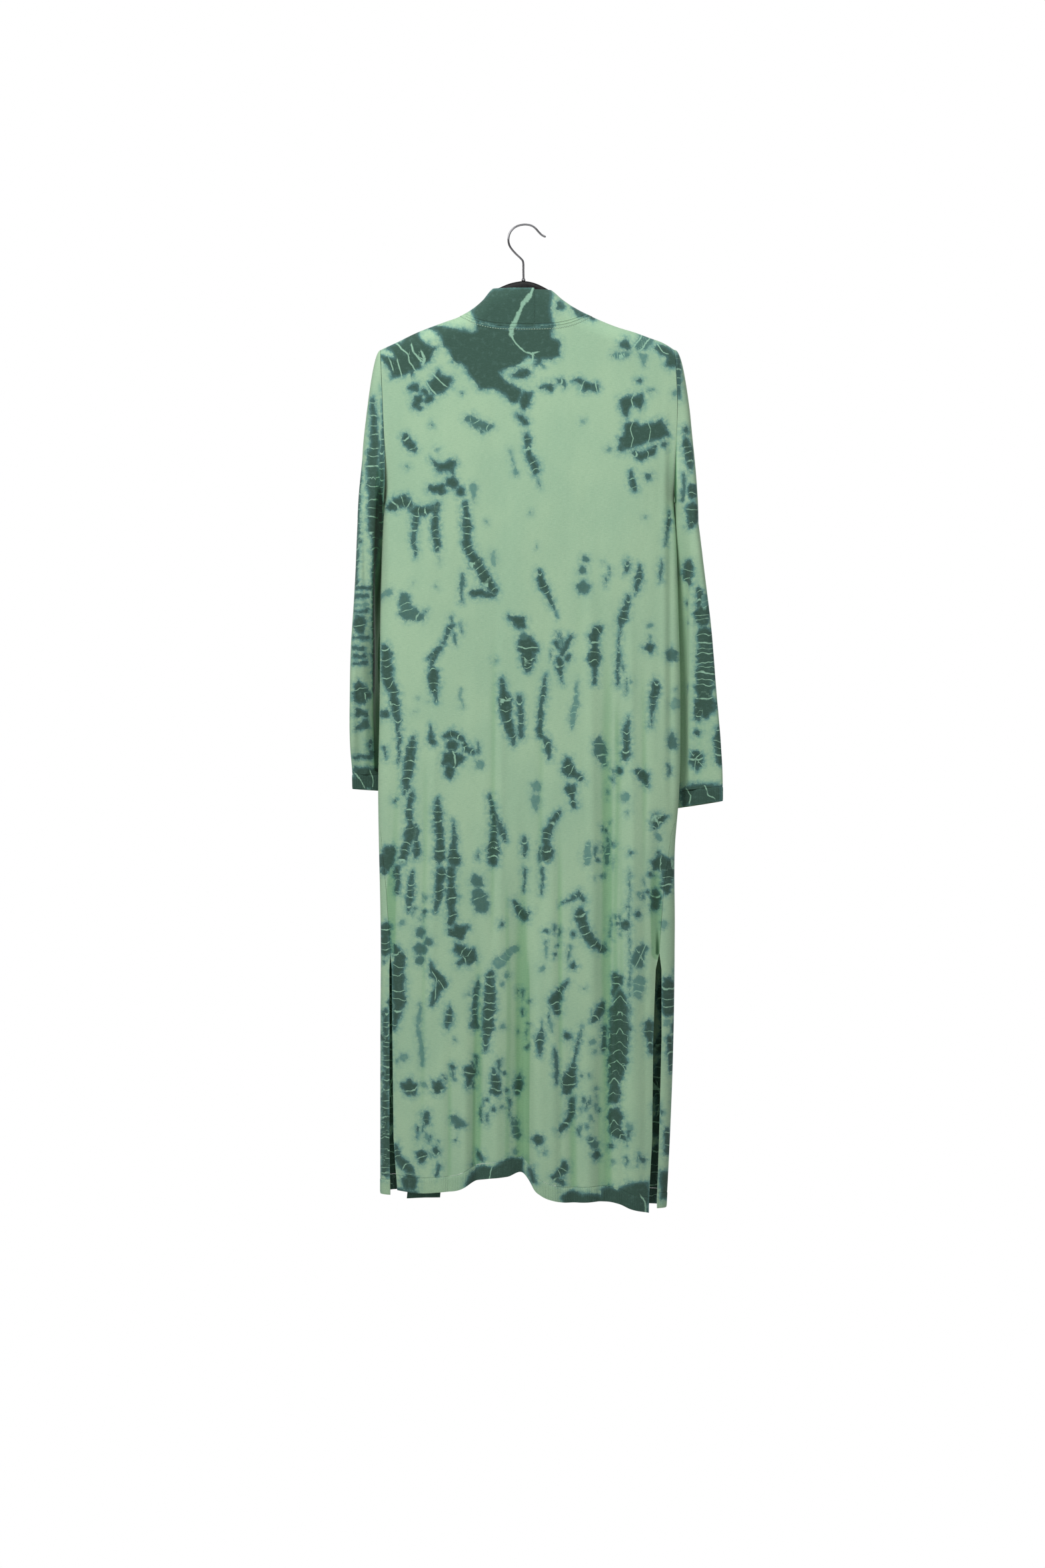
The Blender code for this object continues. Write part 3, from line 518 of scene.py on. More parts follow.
FRONT_CREASES = [
    (-195, -240, -188, -620, 5, 3.5),
    (205, -240, 206, -800, 5, 3.5),
    (-120, -500, -132, -1300, 6, 1.8),
    (-104, -700, -150, -1500, 5, -1.6),
    (112, -560, 110, -1400, 6, 2.0),
    (166, -700, 160, -1500, 5, 2.0),
    (190, -900, 186, -1500, 6, -2.0),
]
SLEEVE_CREASES = {
    LEFT: [
        (-231, -300, -226, -560, 5, 2.2),
        (-222, -360, -216, -700, 5, -2.4),
        (-240, -520, -236, -800, 6, 1.6),
        (-214, -440, -212, -760, 4, 3.0),
        (-228, -640, -230, -850, 5, -1.6),
        (-290, -360, -294, -800, 7, 2.0),
        (-310, -420, -306, -800, 6, -1.8),
    ],
    RIGHT: [
        (237, -480, 238, -860, 5, -3.2),
        (245, -470, 247, -860, 5, 2.2),
        (228, -420, 229, -840, 5, 2.4),
        (220, -340, 219, -700, 4, -1.8),
        (258, -560, 262, -860, 7, 1.6),
        (231, -260, 240, -470, 7, 1.4),
        (310, -380, 322, -800, 7, 2.2),
        (330, -420, 338, -800, 6, -1.8),
    ],
}

# The stains. They were placed by eye on enlarged parts of the photo, nearly all in pixels there, and a
# helper script changed them to the millimetres that stand here and made their rung spacings wider.
# Each starts with its kind, its tone and a number.
# A chain or a chevron is a row of beads: the number is the spacing of its pale rungs, and each point has
# an x, a z and a radius. An area is a polygon of x and z, and its number is unused. A vein is a pale line
# of x and z, and its number is its width. A line that ends in a comma goes on in the next one.

# Painted shade in this table: the chains and veins at u from 214 to 228 and from -214 to -228, below z -1040,
# are the dye on the fronts' inner edges darkened as painted shade of the side slits. The area from u -213 to
# -294 at the hem paints the shade on the left front's inner edge and the left band's dark end; the two areas
# after it are the right band's dark end.
BODY_STAINS = """
area 1 0: -47 -91, 3 -91, 37 -91, 39 -103, 36 -117, 36 -135, 40 -146, -26 -148, -70 -140, -71 -133,
  -77 -123
vein 1 2: 10 -93, 7 -103
vein 1 3.4: 6 -103, 1 -111, -4 -116
vein 1 2.2: -3 -115, -9 -129
vein 1 3: -10 -128, -14 -140
vein 1 4: -16 -143, -20 -151, -20 -159
vein 1 1.3: -21 -160, -14 -171, -3 -180, 9 -185, 17 -183
vein 1 1.5: 10 -186, 11 -192, 8 -197, -10 -202
area 1 0: -141 -147, -128 -153, -121 -162, -116 -175, -107 -185, -103 -195, -94 -201, -85 -205,
  -83 -214, -75 -221, -68 -234, -60 -237, -47 -236, -37 -239, -28 -246, -21 -255, -10 -254, -5 -241,
  -14 -232, -23 -226, -30 -221, -36 -212, -24 -207, -10 -202, 6 -189, 15 -194, 12 -202, 20 -200,
  24 -192, 36 -195, 48 -190, 50 -175, 48 -166, 37 -162, 40 -147, -26 -149, -70 -141, -69 -153,
  -76 -155, -89 -152, -103 -148, -116 -144, -128 -143
area 1 0: -22 -218, -10 -208, 6 -207, 10 -214, -1 -221, -16 -220
chain 0.5 0: 24 -202 2.8
chain 1 0: 1 -246 5.7, 0 -252 7.6, -3 -261 4.8
area 1 0: -173 -162, -162 -152, -151 -152, -149 -165, -141 -171, -132 -175, -123 -174, -130 -182,
  -134 -194, -142 -200, -149 -198, -147 -205, -157 -209, -159 -221, -164 -212, -175 -216, -184 -218,
  -192 -221, -191 -211, -198 -201, -204 -194, -210 -187, -196 -189, -186 -191, -191 -182, -200 -180,
  -191 -171, -178 -170
vein 1 1.1: -184 -171, -175 -179, -167 -186, -164 -198, -157 -209
vein 1 1: -195 -191, -191 -198, -188 -208
vein 1 1: -182 -194, -179 -203, -176 -215
vein 1 1.4: -162 -171, -159 -184, -148 -195
vein 1 2: -147 -182, -143 -191, -145 -198
area 1 0: -132 -221, -126 -210, -123 -207, -121 -217, -109 -217, -102 -224, -107 -234, -116 -242,
  -128 -244, -136 -236, -138 -225
vein 1 1: -133 -213, -124 -223, -112 -232
vein 1 1: -140 -225, -135 -233, -127 -243
chain 1 0: -163 -235 3.8, -157 -234 4.8
chain 1 0: -146 -238 3.8, -142 -241 5.7
chain 1 0: -152 -250 6.6, -157 -260 4.8, -152 -262 3.8
chain 1 0: -135 -247 5.7, -140 -252 3.8
chain 0.8 0: -91 -241 1.9
chain 0.9 0: 21 -234 2.8, 28 -232 4.8, 35 -234 4.8
chain 0.8 6.6: 48 -226 4.8, 53 -228 4.8
area 1 0: 66 -223, 75 -221, 85 -227, 92 -229, 103 -228, 106 -235, 101 -240, 90 -238, 81 -241, 78 -231
vein 1 1: 83 -227, 77 -239
vein 1 1: 99 -227, 102 -240
chain 0.9 0: 48 -114 2.8, 51 -119 3.8, 48 -121 2.8
chain 0.7 0: 55 -105 2.8, 61 -111 1.9
chain 0.9 0: 67 -120 2.8, 71 -123 3.8, 79 -129 3.8
chain 1 0: 86 -132 2.8, 94 -133 4.8
chain 0.9 0: 137 -173 3.8, 142 -172 5.7, 145 -176 3.8
chain 0.8 0: 142 -164 1.9
chain 0.6 4.8: 124 -189 2.8, 136 -188 5.7, 145 -185 3.8
area 0.7 0: 155 -172, 162 -159, 174 -158, 183 -162, 180 -172, 170 -178, 157 -181
vein 1 1.1: 168 -156, 161 -165, 155 -174
vein 1 1.1: 178 -161, 170 -171, 164 -180
area 0.95 0: 180 -176, 187 -172, 197 -171, 209 -180, 216 -189, 220 -202, 206 -207, 198 -202, 202 -191,
  193 -187
vein 1 0.9: 187 -171, 193 -180, 202 -186
chain 0.5 0: 164 -188 2.8, 169 -190 3.8, 168 -201 1.9
chain 0.9 0: 162 -224 3.8
area 1 0: 132 -250, 140 -246, 147 -244, 155 -247, 166 -242, 170 -252, 164 -264, 154 -257, 148 -264,
  143 -277, 138 -270, 134 -261
vein 1 0.9: 155 -243, 150 -251, 153 -260
chain 0.6 0: 174 -240 1.9, 180 -238 1.9
chain 0.7 0: -90 -151 1.9, -83 -153 1.9, -77 -156 1.9
chain 1 0: 7 -243 3, 1 -255 6, -4 -262 3.8
chain 1 0: -10 -274 3.8, -2 -281 5.3, 3 -286 2.3
chain 1 15.6: 1 -300 2.3, 3 -311 4.5, 3 -320 4.5, 7 -333 4.9, 14 -347 6.4, 15 -354 4.5
vein 1 1: -4 -323, 13 -321
chain 0.5 0: -23 -322 0.8, -17 -343 1.1, -13 -356 4.1
chain 0.7 0: 17 -367 1.5, 20 -375 0.8
chain 0.8 0: 82 -283 1.1
chain 0.8 0: -132 -287 1.9
chain 0.8 0: -90 -241 1.5
chain 0.75 13.2: -85 -279 3, -75 -277 5.3, -68 -286 6.8, -51 -290 5.3
chain 0.75 0: -62 -296 3.8
chain 1 13.2: -171 -303 5.3, -164 -315 6, -158 -322 3.8
chain 0.5 0: -124 -324 2.3
chain 0.5 0: -169 -346 3.4
area 1 0: -134 -335, -122 -343, -111 -339, -98 -337, -96 -343, -102 -350, -100 -362, -107 -352,
  -122 -356, -128 -348
chain 1 0: -105 -369 8.3
chain 1 0: -121 -379 8.3, -134 -377 4.5
chain 1 0: -92 -381 6.8
chain 0.5 0: -74 -377 4.9, -73 -395 1.1
chain 1 13.2: -192 -403 7.5, -173 -394 9.8, -164 -401 4.5
chain 1 13.2: -160 -407 6.8, -143 -409 6, -126 -405 5.3
area 1 0: 139 -286, 156 -283, 163 -288, 172 -285, 184 -283, 193 -279, 201 -286, 204 -303, 191 -307,
  178 -309, 163 -315, 152 -320, 142 -320, 135 -328, 131 -320, 135 -313, 131 -307, 139 -302
vein 1 0.7: 153 -283, 149 -294, 153 -306, 150 -318
vein 1 0.6: 174 -283, 178 -295, 174 -313
chain 0.5 0: 118 -322 3.8
chain 0.9 0: 197 -315 4.5
chain 1 14.4: 152 -326 3, 163 -330 6, 178 -324 7.5, 184 -318 3
chain 1 14.4: 150 -354 3, 152 -371 5.3, 156 -379 3
chain 0.8 0: 174 -361 4.5
chain 0.5 0: 212 -243 3.8
chain 1 13.2: 204 -410 1.9, 204 -422 4.5, 201 -437 3
chain 0.35 0: 8 -412 3
chain 0.35 0: -55 -425 2.3
chain 0.35 0: 169 -418 2.3
chain 1 13.2: -156 -407 5.3, -157 -422 4.5, -158 -439 3.8, -157 -463 3, -156 -474 1.1
chain 1 13.2: -126 -401 4.9, -127 -420 5.3, -127 -439 5.3, -125 -456 4.9, -124 -464 3
chain 1 13.2: -86 -399 3.8, -84 -418 5.6, -83 -439 6, -83 -456 6.8, -77 -471 6.8, -72 -482 8.3
chain 0.35 0: -123 -472 1.1, -122 -484 0.8
chain 1 13.2: -72 -482 8.3, -62 -495 7.5, -54 -510 9.8, -44 -523 5.3
chain 1 0: -75 -527 5.6, -60 -527 5.3, -44 -529 3.8
chain 0.8 0: -90 -499 1.5, -90 -514 3.4, -92 -525 1.9, -91 -540 1.1
chain 0.5 0: -205 -529 3.8, -194 -523 5.3
chain 0.75 13.2: -173 -532 7.5, -166 -553 12.8, -147 -559 5.3
chain 0.75 0: -143 -551 3
chain 0.35 0: -126 -517 2.3
chain 0.35 0: -160 -512 1.5
chain 0.35 0: -45 -470 3, -45 -485 3
chain 0.35 0: 15 -461 1.9
chain 1 14.4: 20 -495 3.8, 21 -508 6.8, 26 -519 6, 33 -532 4.5, 40 -547 2.3, 45 -559 1.1
chain 0.75 0: 84 -478 4.5
chain 0.75 0: 80 -495 6.8
chain 0.75 0: 82 -519 9
chain 1 14.4: 144 -480 2.3, 142 -495 3.8
chain 1 14.4: 161 -487 1.9, 161 -504 5.3, 159 -519 3, 155 -530 1.1
chain 0.8 0: 193 -480 1.1, 192 -495 2.3, 192 -510 0.8
chain 0.8 0: 200 -438 2.3, 199 -457 1.1
chain 1 15: 146 -529 2.6, 144 -540 4.5, 139 -559 6, 134 -570 3.8, 133 -581 1.5, 132 -604 1.5,
  132 -619 4.5, 132 -638 2.3, 131 -656 1.5
chain 1 0: -7 -568 9.8, -23 -559 1.9
chain 0.75 13.2: -1 -588 8.3, -0 -591 3.8
chain 1 13.2: 2 -600 15, 3 -622 9.8, 3 -636 2.3
chain 1 14.4: -101 -570 1.9, -108 -579 3.8, -118 -598 1.9, -128 -613 5.3, -136 -619 2.3
chain 1 14.4: -128 -615 5.3, -132 -630 3, -129 -643 10.5, -129 -662 5.3, -126 -679 2.3
chain 0.8 0: -92 -568 0.8, -89 -581 1.1
chain 1 13.2: -199 -600 6, -198 -615 7.5, -196 -634 8.3, -196 -653 8.3, -186 -664 6, -186 -683 6.8,
  -183 -698 5.3, -181 -716 3, -179 -739 2.6, -179 -765 1.5
chain 1 0: -199 -698 6.8
chain 1 0: 45 -596 3.8, 49 -606 2.3
chain 1 0: 64 -589 3, 58 -600 4.5, 53 -611 3.8
chain 1 14.4: 47 -622 7.5, 50 -638 3.8, 52 -653 1.5
chain 1 0: 60 -619 4.5
chain 1 15.6: 107 -574 3.8, 97 -587 9, 98 -600 4.5, 97 -619 9.8, 97 -634 3.8, 98 -653 3
chain 0.5 0: 178 -572 4.5
chain 0.5 0: 176 -589 3
chain 1 13.2: 176 -604 8.3, 177 -607 4.5
chain 0.75 0: 208 -613 8.3
chain 1 15.6: 185 -649 2.3, 185 -658 6, 182 -683 4.5, 180 -694 2.3, 176 -716 1.1
chain 0.35 0: 212 -664 2.3
chain 0.35 0: 212 -683 7.5
chain 1 18: -34 -649 5.3, -33 -664 4.5, -29 -679 9.8, -27 -701 8.3, -22 -720 6.8, -17 -739 3
chain 1 15.6: -9 -675 4.5, -8 -690 3.8, -7 -709 3.8, -7 -731 3
chain 1 24: 28 -641 1.1, 26 -664 4.5, 22 -686 3.8, 22 -709 3.8, 21 -728 4.5, 28 -731 3, 33 -746 6,
  35 -761 1.9
chain 0.5 13.2: 74 -651 1.5, 73 -664 2.3, 70 -688 4.5, 67 -705 5.3, 65 -718 1.5
chain 0.8 0: -67 -739 1.1, -67 -754 1.9
chain 0.35 0: -92 -664 2.3, -90 -688 1.9
chain 0.35 0: -151 -675 1.9
chain 0.35 0: -156 -694 1.9
chain 0.35 0: -137 -679 1.5
chain 0.8 0: -44 -622 1.5
chain 1 14.4: -113 -730 6, -102 -726 6, -92 -733 4.5, -85 -746 5.3, -74 -752 3.8
chain 1 0: -104 -743 8.3
chain 1 12: -107 -761 13.5, -92 -760 7.5
chain 1 12: -107 -780 11.3, -107 -785 5.3
chain 1 0: -132 -735 5.3, -134 -716 1.5
chain 0.5 0: -66 -769 6
chain 0.5 0: -89 -739 3.8
chain 1 14.4: -158 -726 1.1, -160 -739 4.5, -163 -754 6.8, -166 -769 7.5, -167 -784 6.8, -169 -799 5.3,
  -173 -814 1.1
chain 0.75 13.2: 104 -735 6, 106 -752 9.8, 111 -769 3
chain 1 14.4: 146 -701 1.1, 144 -716 4.5, 142 -735 5.3, 142 -758 6
chain 1 0: 133 -777 5.3
chain 0.75 0: 208 -724 2.3, 209 -739 6.8
chain 1 14.4: 159 -778 3.8, 167 -786 8.3, 172 -799 3
chain 0.8 0: 204 -769 1.9, 204 -784 1.9
chain 1 13.2: 60 -763 6.8, 60 -777 9, 71 -784 6, 80 -792 3.8
chain 1 13.2: 64 -803 7.5, 67 -816 4.5, 69 -827 5.3
chain 0.5 0: 15 -801 6.8
chain 0.5 0: 15 -820 7.5, 15 -833 1.9
chain 1 0: -200 -746 1.9, -199 -761 1.1
chain 1 15.6: -160 -808 3, -163 -822 5.3, -164 -837 5.3, -164 -852 4.5, -162 -867 8.3, -167 -882 5.3,
  -173 -906 6.8
chain 1 14.4: -155 -855 3, -155 -899 5.3
chain 1 13.2: -125 -818 1.9, -124 -837 6, -124 -852 6.8, -122 -874 5.3, -122 -900 8.3
chain 1 15.6: -104 -848 1.1, -101 -870 3.4, -101 -889 5.3, -100 -904 8.3
chain 1 0: -184 -820 3
chain 1 0: -192 -893 10.5, -198 -908 9.8
chain 1 12: -50 -812 2.3, -47 -829 3.8, -43 -848 6, -45 -867 5.3, -45 -889 9, -47 -906 7.5
chain 1 12: -44 -837 2.3, -36 -855 3.8, -30 -876 3
chain 0.8 0: -67 -893 1.1, -68 -902 1.1
chain 0.9 13.2: -2 -874 2.3, -1 -887 4.5, -1 -897 1.5
chain 0.8 0: 21 -885 1.9, 22 -904 3
chain 1 13.2: 50 -837 3.8, 39 -848 5.3, 33 -863 6, 31 -880 5.3, 32 -895 8.3, 31 -904 5.3
chain 0.5 12: 88 -882 3.8, 86 -895 6, 87 -908 4.5
chain 0.75 9.6: 117 -874 2.3, 116 -889 3.8, 115 -908 3.4
chain 0.35 0: 120 -852 3
chain 0.5 0: 142 -816 6
chain 0.5 0: 146 -837 2.3
chain 1 14.4: 197 -844 3.8, 188 -848 9, 184 -859 3.8
chain 0.5 8.4: 188 -870 6, 189 -873 3.8
chain 1 12: 188 -910 13.5, 208 -912 7.5
chain 1 0: 148 -895 2.3
chain 1 0: 188 -895 3
chain 1 0: -201 -919 4.5
chain 1 13.2: -199 -1000 7.5, -199 -1034 6.8
chain 0.75 0: -201 -1049 3
chain 1 0: -201 -1124 4.5
chain 1 0: -201 -1158 5.3
chain 1 0: -201 -1210 3.8
chain 1 14.4: -199 -1236 6, -198 -1274 6, -198 -1304 7.5, -196 -1338 7.5
chain 1 12: -182 -917 5.3, -182 -936 4.5, -181 -951 3.8
chain 1 10.8: -161 -921 3, -163 -940 4.5, -164 -955 5.3, -165 -972 3.8, -166 -979 1.9
chain 0.5 0: -141 -957 3.8
chain 0.5 0: -175 -992 4.5
chain 0.5 0: -149 -990 1.9
chain 1 18: -119 -919 7.5, -122 -936 6, -122 -955 7.5, -126 -970 3.8, -128 -981 1.5
chain 1 18: -105 -917 6.8, -106 -936 5.3, -104 -955 8.3, -105 -974 5.3, -105 -992 6
chain 1 13.2: -94 -1007 15.8, -93 -1012 7.5
chain 1 0: -104 -1004 4.5
chain 1 0: -83 -1000 4.5
chain 1 12: -96 -1030 8.3, -79 -1041 9.8, -94 -1052 3.8
chain 0.75 0: -68 -934 8.3
chain 0.75 13.2: -67 -953 9.8, -62 -968 9.8
chain 0.75 0: -149 -1007 7.5
chain 0.75 0: -137 -1019 6
chain 0.75 0: -149 -1030 9.8
chain 0.75 0: -149 -1047 6.8
chain 1 16.8: -184 -1030 6, -179 -1043 8.3, -182 -1060 8.3, -181 -1075 9.8, -179 -1094 10.5,
  -179 -1109 8.3, -184 -1128 5.3, -186 -1146 2.3
chain 1 0: -132 -1052 2.3, -128 -1067 6.8, -119 -1079 7.5, -126 -1094 5.3, -132 -1109 3
vein 1 0.7: -132 -1062, -126 -1073, -127 -1086, -128 -1101
vein 1 0.6: -126 -1073, -119 -1079, -115 -1088
chain 1 14.4: -108 -1113 2.3, -109 -1128 7.5, -111 -1143 1.9
chain 0.5 0: -100 -1158 2.6
chain 0.5 0: -149 -1109 2.3, -151 -1154 2.6, -147 -1176 3.8, -147 -1193 3
chain 0.5 0: -172 -1184 5.3
chain 0.5 0: -181 -1190 3
chain 1 14.4: -68 -1075 3, -70 -1094 3.8, -71 -1116 4.5, -71 -1139 5.3
chain 0.5 0: -81 -1094 3
chain 1 12: -50 -1064 4.5, -51 -1082 6.8, -51 -1101 8.3, -52 -1124 7.5, -53 -1139 8.3, -55 -1158 5.3,
  -56 -1174 3
chain 0.5 13.2: -40 -1051 9, -28 -1041 6, -15 -1030 5.3
chain 0.5 0: -27 -1067 3.8
chain 0.5 0: -32 -1079 3
chain 0.5 0: -32 -1139 3.4
chain 1 13.2: -16 -962 3.8, -10 -975 6, -1 -985 7.5, 7 -977 2.3
chain 1 0: -34 -994 3.4
chain 0.9 0: -1 -917 2.3, -1 -936 1.5, -2 -947 1.9
chain 0.9 0: 24 -917 1.9, 24 -940 1.9, 24 -951 1.1
chain 0.8 0: 3 -1169 3
chain 1 13.2: 52 -966 1.5, 65 -959 3, 75 -951 3, 82 -962 3.8
chain 1 14.4: 77 -977 7.5, 80 -996 6.8, 88 -1013 7.5, 99 -1026 6, 109 -1030 5.3
chain 1 0: 67 -1009 4.5
chain 1 0: 29 -1005 3
chain 1 0: 47 -1024 1.5
chain 1 0: 67 -1054 5.3
chain 1 13.2: 60 -1077 3, 49 -1090 5.3, 41 -1101 8.3, 45 -1118 5.3
chain 0.5 0: 82 -1086 2.3
chain 0.5 0: 24 -1058 4.5
chain 1 0: 60 -1154 6
chain 1 14.4: 24 -1139 1.1, 20 -1158 6, 20 -1180 1.9
chain 0.9 0: 41 -1169 1.1, 42 -1190 2.3, 43 -1210 2.6, 43 -1220 1.1
chain 1 14.4: 77 -1146 1.1, 72 -1173 2.6, 68 -1191 2.6, 61 -1218 11.3, 58 -1231 6
chain 1 14.4: 67 -1240 3, 65 -1255 5.3, 62 -1267 4.5, 54 -1280 6.8, 49 -1285 3.8
chain 1 13.2: 109 -1109 4.5, 103 -1120 7.5, 95 -1131 4.5
chain 0.5 0: 95 -1161 5.3
chain 0.5 0: 99 -1176 3
chain 1 12: 112 -1139 3, 111 -1154 3.8, 111 -1173 3.8
chain 0.5 0: 90 -1208 2.6
chain 0.5 0: 99 -1229 3
chain 0.5 0: 92 -1270 3.8
chain 1 13.2: 126 -1064 3, 131 -1075 9, 126 -1094 3.8
chain 0.75 0: 165 -1030 7.5, 159 -1049 8.3
vein 1 0.8: 171 -1022, 156 -1056
vein 1 0.7: 157 -1030, 169 -1052
chain 0.5 10.8: 161 -1075 11.3, 159 -1094 5.3
chevron 1 14.4: 135 -1094 7.5, 132 -1120 12.8, 133 -1139 14.3, 132 -1158 15, 131 -1176 15,
  130 -1199 12.8, 126 -1221 7.5, 126 -1240 9.8
chevron 1 14.4: 126 -1263 11.3, 126 -1278 11.3, 129 -1289 9, 139 -1298 5.3
chain 0.5 0: 148 -1282 5.3
chain 1 16.8: 176 -1139 9.8, 176 -1158 5.3, 178 -1176 4.5
chain 1 0: 142 -996 6
chain 1 0: 159 -981 3.8
chain 1 0: 144 -972 2.3
chain 0.7 0: 148 -921 1.1, 148 -1026 1.1, 147 -1176 1.1
chain 1 14.4: 184 -951 7.5, 184 -970 7.5
chain 1 0: 178 -925 3.8
chain 1 0: 172 -949 3
chain 1 10.8: -164 -1227 14.3, -163 -1231 7.5
chain 1 10.8: -124 -1223 12, -124 -1227 6.8
chain 0.5 0: -143 -1223 5.3
chain 1 0: -102 -1197 4.1
chain 1 13.2: -79 -1203 9.8, -81 -1225 2.3
chain 1 13.2: -45 -1199 1.5, -43 -1214 6, -42 -1231 7.5
chain 1 0: -27 -1229 2.3
chain 1 13.2: -10 -1210 3, -10 -1225 7.5, -13 -1233 5.3
chain 1 0: -45 -1257 3.8
chain 1 0: -55 -1244 2.3
chain 1 13.2: -141 -1263 4.5, -139 -1276 5.3
chain 1 9.6: -147 -1321 9.8, -146 -1327 5.3
chain 1 9.6: -128 -1315 6, -128 -1319 4.5
chain 0.5 0: -141 -1297 4.5
chain 0.75 0: -104 -1268 3.8, -96 -1278 6, -87 -1279 3
chain 0.75 0: -99 -1300 2.6
chain 0.75 12: -17 -1274 3.8, -13 -1293 6.8
chain 1 0: 17 -1300 6
chain 1 0: 26 -1317 2.3
chain 0.75 13.2: 90 -1298 4.5, 97 -1306 6.8
chain 1 0: 120 -1308 3.8
chain 1 0: 101 -1321 6.8
chain 1 0: 167 -1330 4.5
chain 0.5 0: 124 -1332 3
chain 1 12: 56 -1334 4.5, 52 -1345 7.5, 39 -1351 4.5, 52 -1360 3
chain 1 0: -66 -1319 3, -62 -1329 3
chain 1 0: -75 -1334 1.9
chain 1 0: -122 -1336 1.9, -126 -1349 3
chain 1 13.2: -184 -1308 3, -179 -1330 6.8, -164 -1345 6
chain 1 0: -164 -1360 11.3
area 1 0: -85 -1364, -79 -1351, -70 -1340, -59 -1336, -47 -1338, -32 -1332, -21 -1325, -2 -1329,
  -1 -1375, -13 -1379, -77 -1387
vein 1 0.8: -47 -1338, -51 -1355
area 1 0: 105 -1379, 107 -1370, 118 -1364, 129 -1370, 144 -1362, 174 -1359, 176 -1379, 172 -1413,
  156 -1413, 111 -1402, 103 -1413, 58 -1413, 50 -1381, 54 -1374, 65 -1372
vein 1 1.2: 163 -1379, 169 -1390, 170 -1406
area 0.9 0: -181 -1370, -152 -1374, -152 -1398, -181 -1398
chain 1 0: 9 -1342 3.8, 11 -1355 3.8
chain 1 13.2: 203 -921 9.4, 201 -947 8.3
chain 0.4 0: 195 -996 5.3
chain 1 14.4: 203 -1079 10.5, 203 -1116 9.8
chain 0.4 0: 200 -1135 6
chain 1 14.4: 204 -1158 6, 206 -1176 6, 208 -1206 3
chain 1 13.2: 201 -1289 4.5, 201 -1319 4.5
area 1 0: 191 -1347, 212 -1347, 212 -1387, 191 -1387
chain 1 14.2: 222 -1040 3, 220 -1066 8, 224 -1100 12, 217 -1140 8, 223 -1172 13
chain 1 13.3: 221 -1196 9, 225 -1230 13, 218 -1262 7, 222 -1290 11
chain 1 15.2: 219 -1318 8, 223 -1350 12, 220 -1392 10
vein 1 0.8: 216 -1080, 224 -1102, 221 -1128
vein 1 0.7: 228 -1222, 220 -1246, 223 -1272
chain 1 14.2: -221 -1048 4, -219 -1076 9, -224 -1112 12, -218 -1150 8
chain 1 13.3: -222 -1172 10, -218 -1210 13, -223 -1248 8, -220 -1274 12
chain 1 15.2: -222 -1304 7, -218 -1340 12, -221 -1388 9
vein 1 0.8: -215 -1096, -223 -1118, -220 -1140
vein 1 0.7: -225 -1204, -217 -1230, -221 -1256
area 1 0: -213 -1352, -294 -1352, -294 -1402, -213 -1402
area 1 0: 356 -1385, 344 -1385, 344 -1410, 356 -1410
area 1 0: 302 -1385, 264 -1385, 264 -1410, 302 -1410
chain 1 9.5: -198 -1120 4, -197 -1180 6, -198 -1235 5
chain 1 9.5: -199 -1260 4, -198 -1300 7, -198 -1350 6
"""


# Painted shade in this table: the chain at x -213 from z -438 to -664, along the sleeve's inner edge, is
# partly dye with pale rungs and partly painted shade of the gap between the sleeve and the body.
LEFT_SLEEVE_STAINS = """
chain 1 15: -216 -249 3, -216 -264 4.5, -216 -290 5.3, -213 -317 7.5, -216 -339 9.8, -216 -362 9.8,
  -216 -384 8.3, -216 -414 8.3, -216 -439 7.5
chain 1 12: -198 -226 2.3, -201 -264 2.6, -203 -302 3, -204 -339 3.8, -206 -377 4.1, -207 -439 4.5
chain 0.8 13.2: -237 -350 3.8, -238 -384 5.3, -239 -410 4.5, -238 -439 3.8
chain 1 16.2: -213 -438 6, -213 -484 6, -213 -529 5.3, -213 -562 6, -213 -619 5.3, -213 -664 4.5
chain 1 0: -237 -452 3
chain 1 0: -239 -510 5.3
chain 1 0: -242 -519 2.6, -220 -518 3.4
chain 1 0: -242 -531 2.3, -224 -530 3
chain 0.5 0: -243 -542 2.3, -224 -541 2.6
chain 1 0: -242 -551 2.3, -224 -550 3
chain 1 10.8: -235 -564 9, -234 -577 7.5
chain 1 0: -242 -589 2.3, -224 -588 3
chain 1 0: -243 -604 3, -231 -603 3.4
chain 1 0: -243 -615 2.6, -228 -614 3
chain 1 0: -243 -625 2.3, -228 -624 3
chain 1 13.2: -237 -658 9, -235 -673 9.8, -223 -671 6.8
chain 0.9 0: -237 -696 6.8, -228 -698 4.5
chain 0.85 0: -228 -711 5.3, -239 -718 3.8
chain 1 13.2: -222 -735 3.4, -223 -743 3.4
chain 1 0: -220 -752 4.5
chain 1 0: -244 -758 2.6, -220 -758 3
chain 1 0: -243 -775 3
area 1 0: -250 -785, -224 -788, -224 -808, -250 -808
area 0.9 0: -221 -778, -207 -778, -207 -808, -221 -808
area 1 0: -247 -774, -230 -772, -208 -774, -208 -802, -244 -805
vein 1 0.8: -243 -779, -234 -792, -230 -803
vein 1 0.8: -223 -776, -218 -788, -219 -801
chain 0.8 14.2: -241 -343 4.8, -243 -429 6.6, -244 -514 5.7
"""


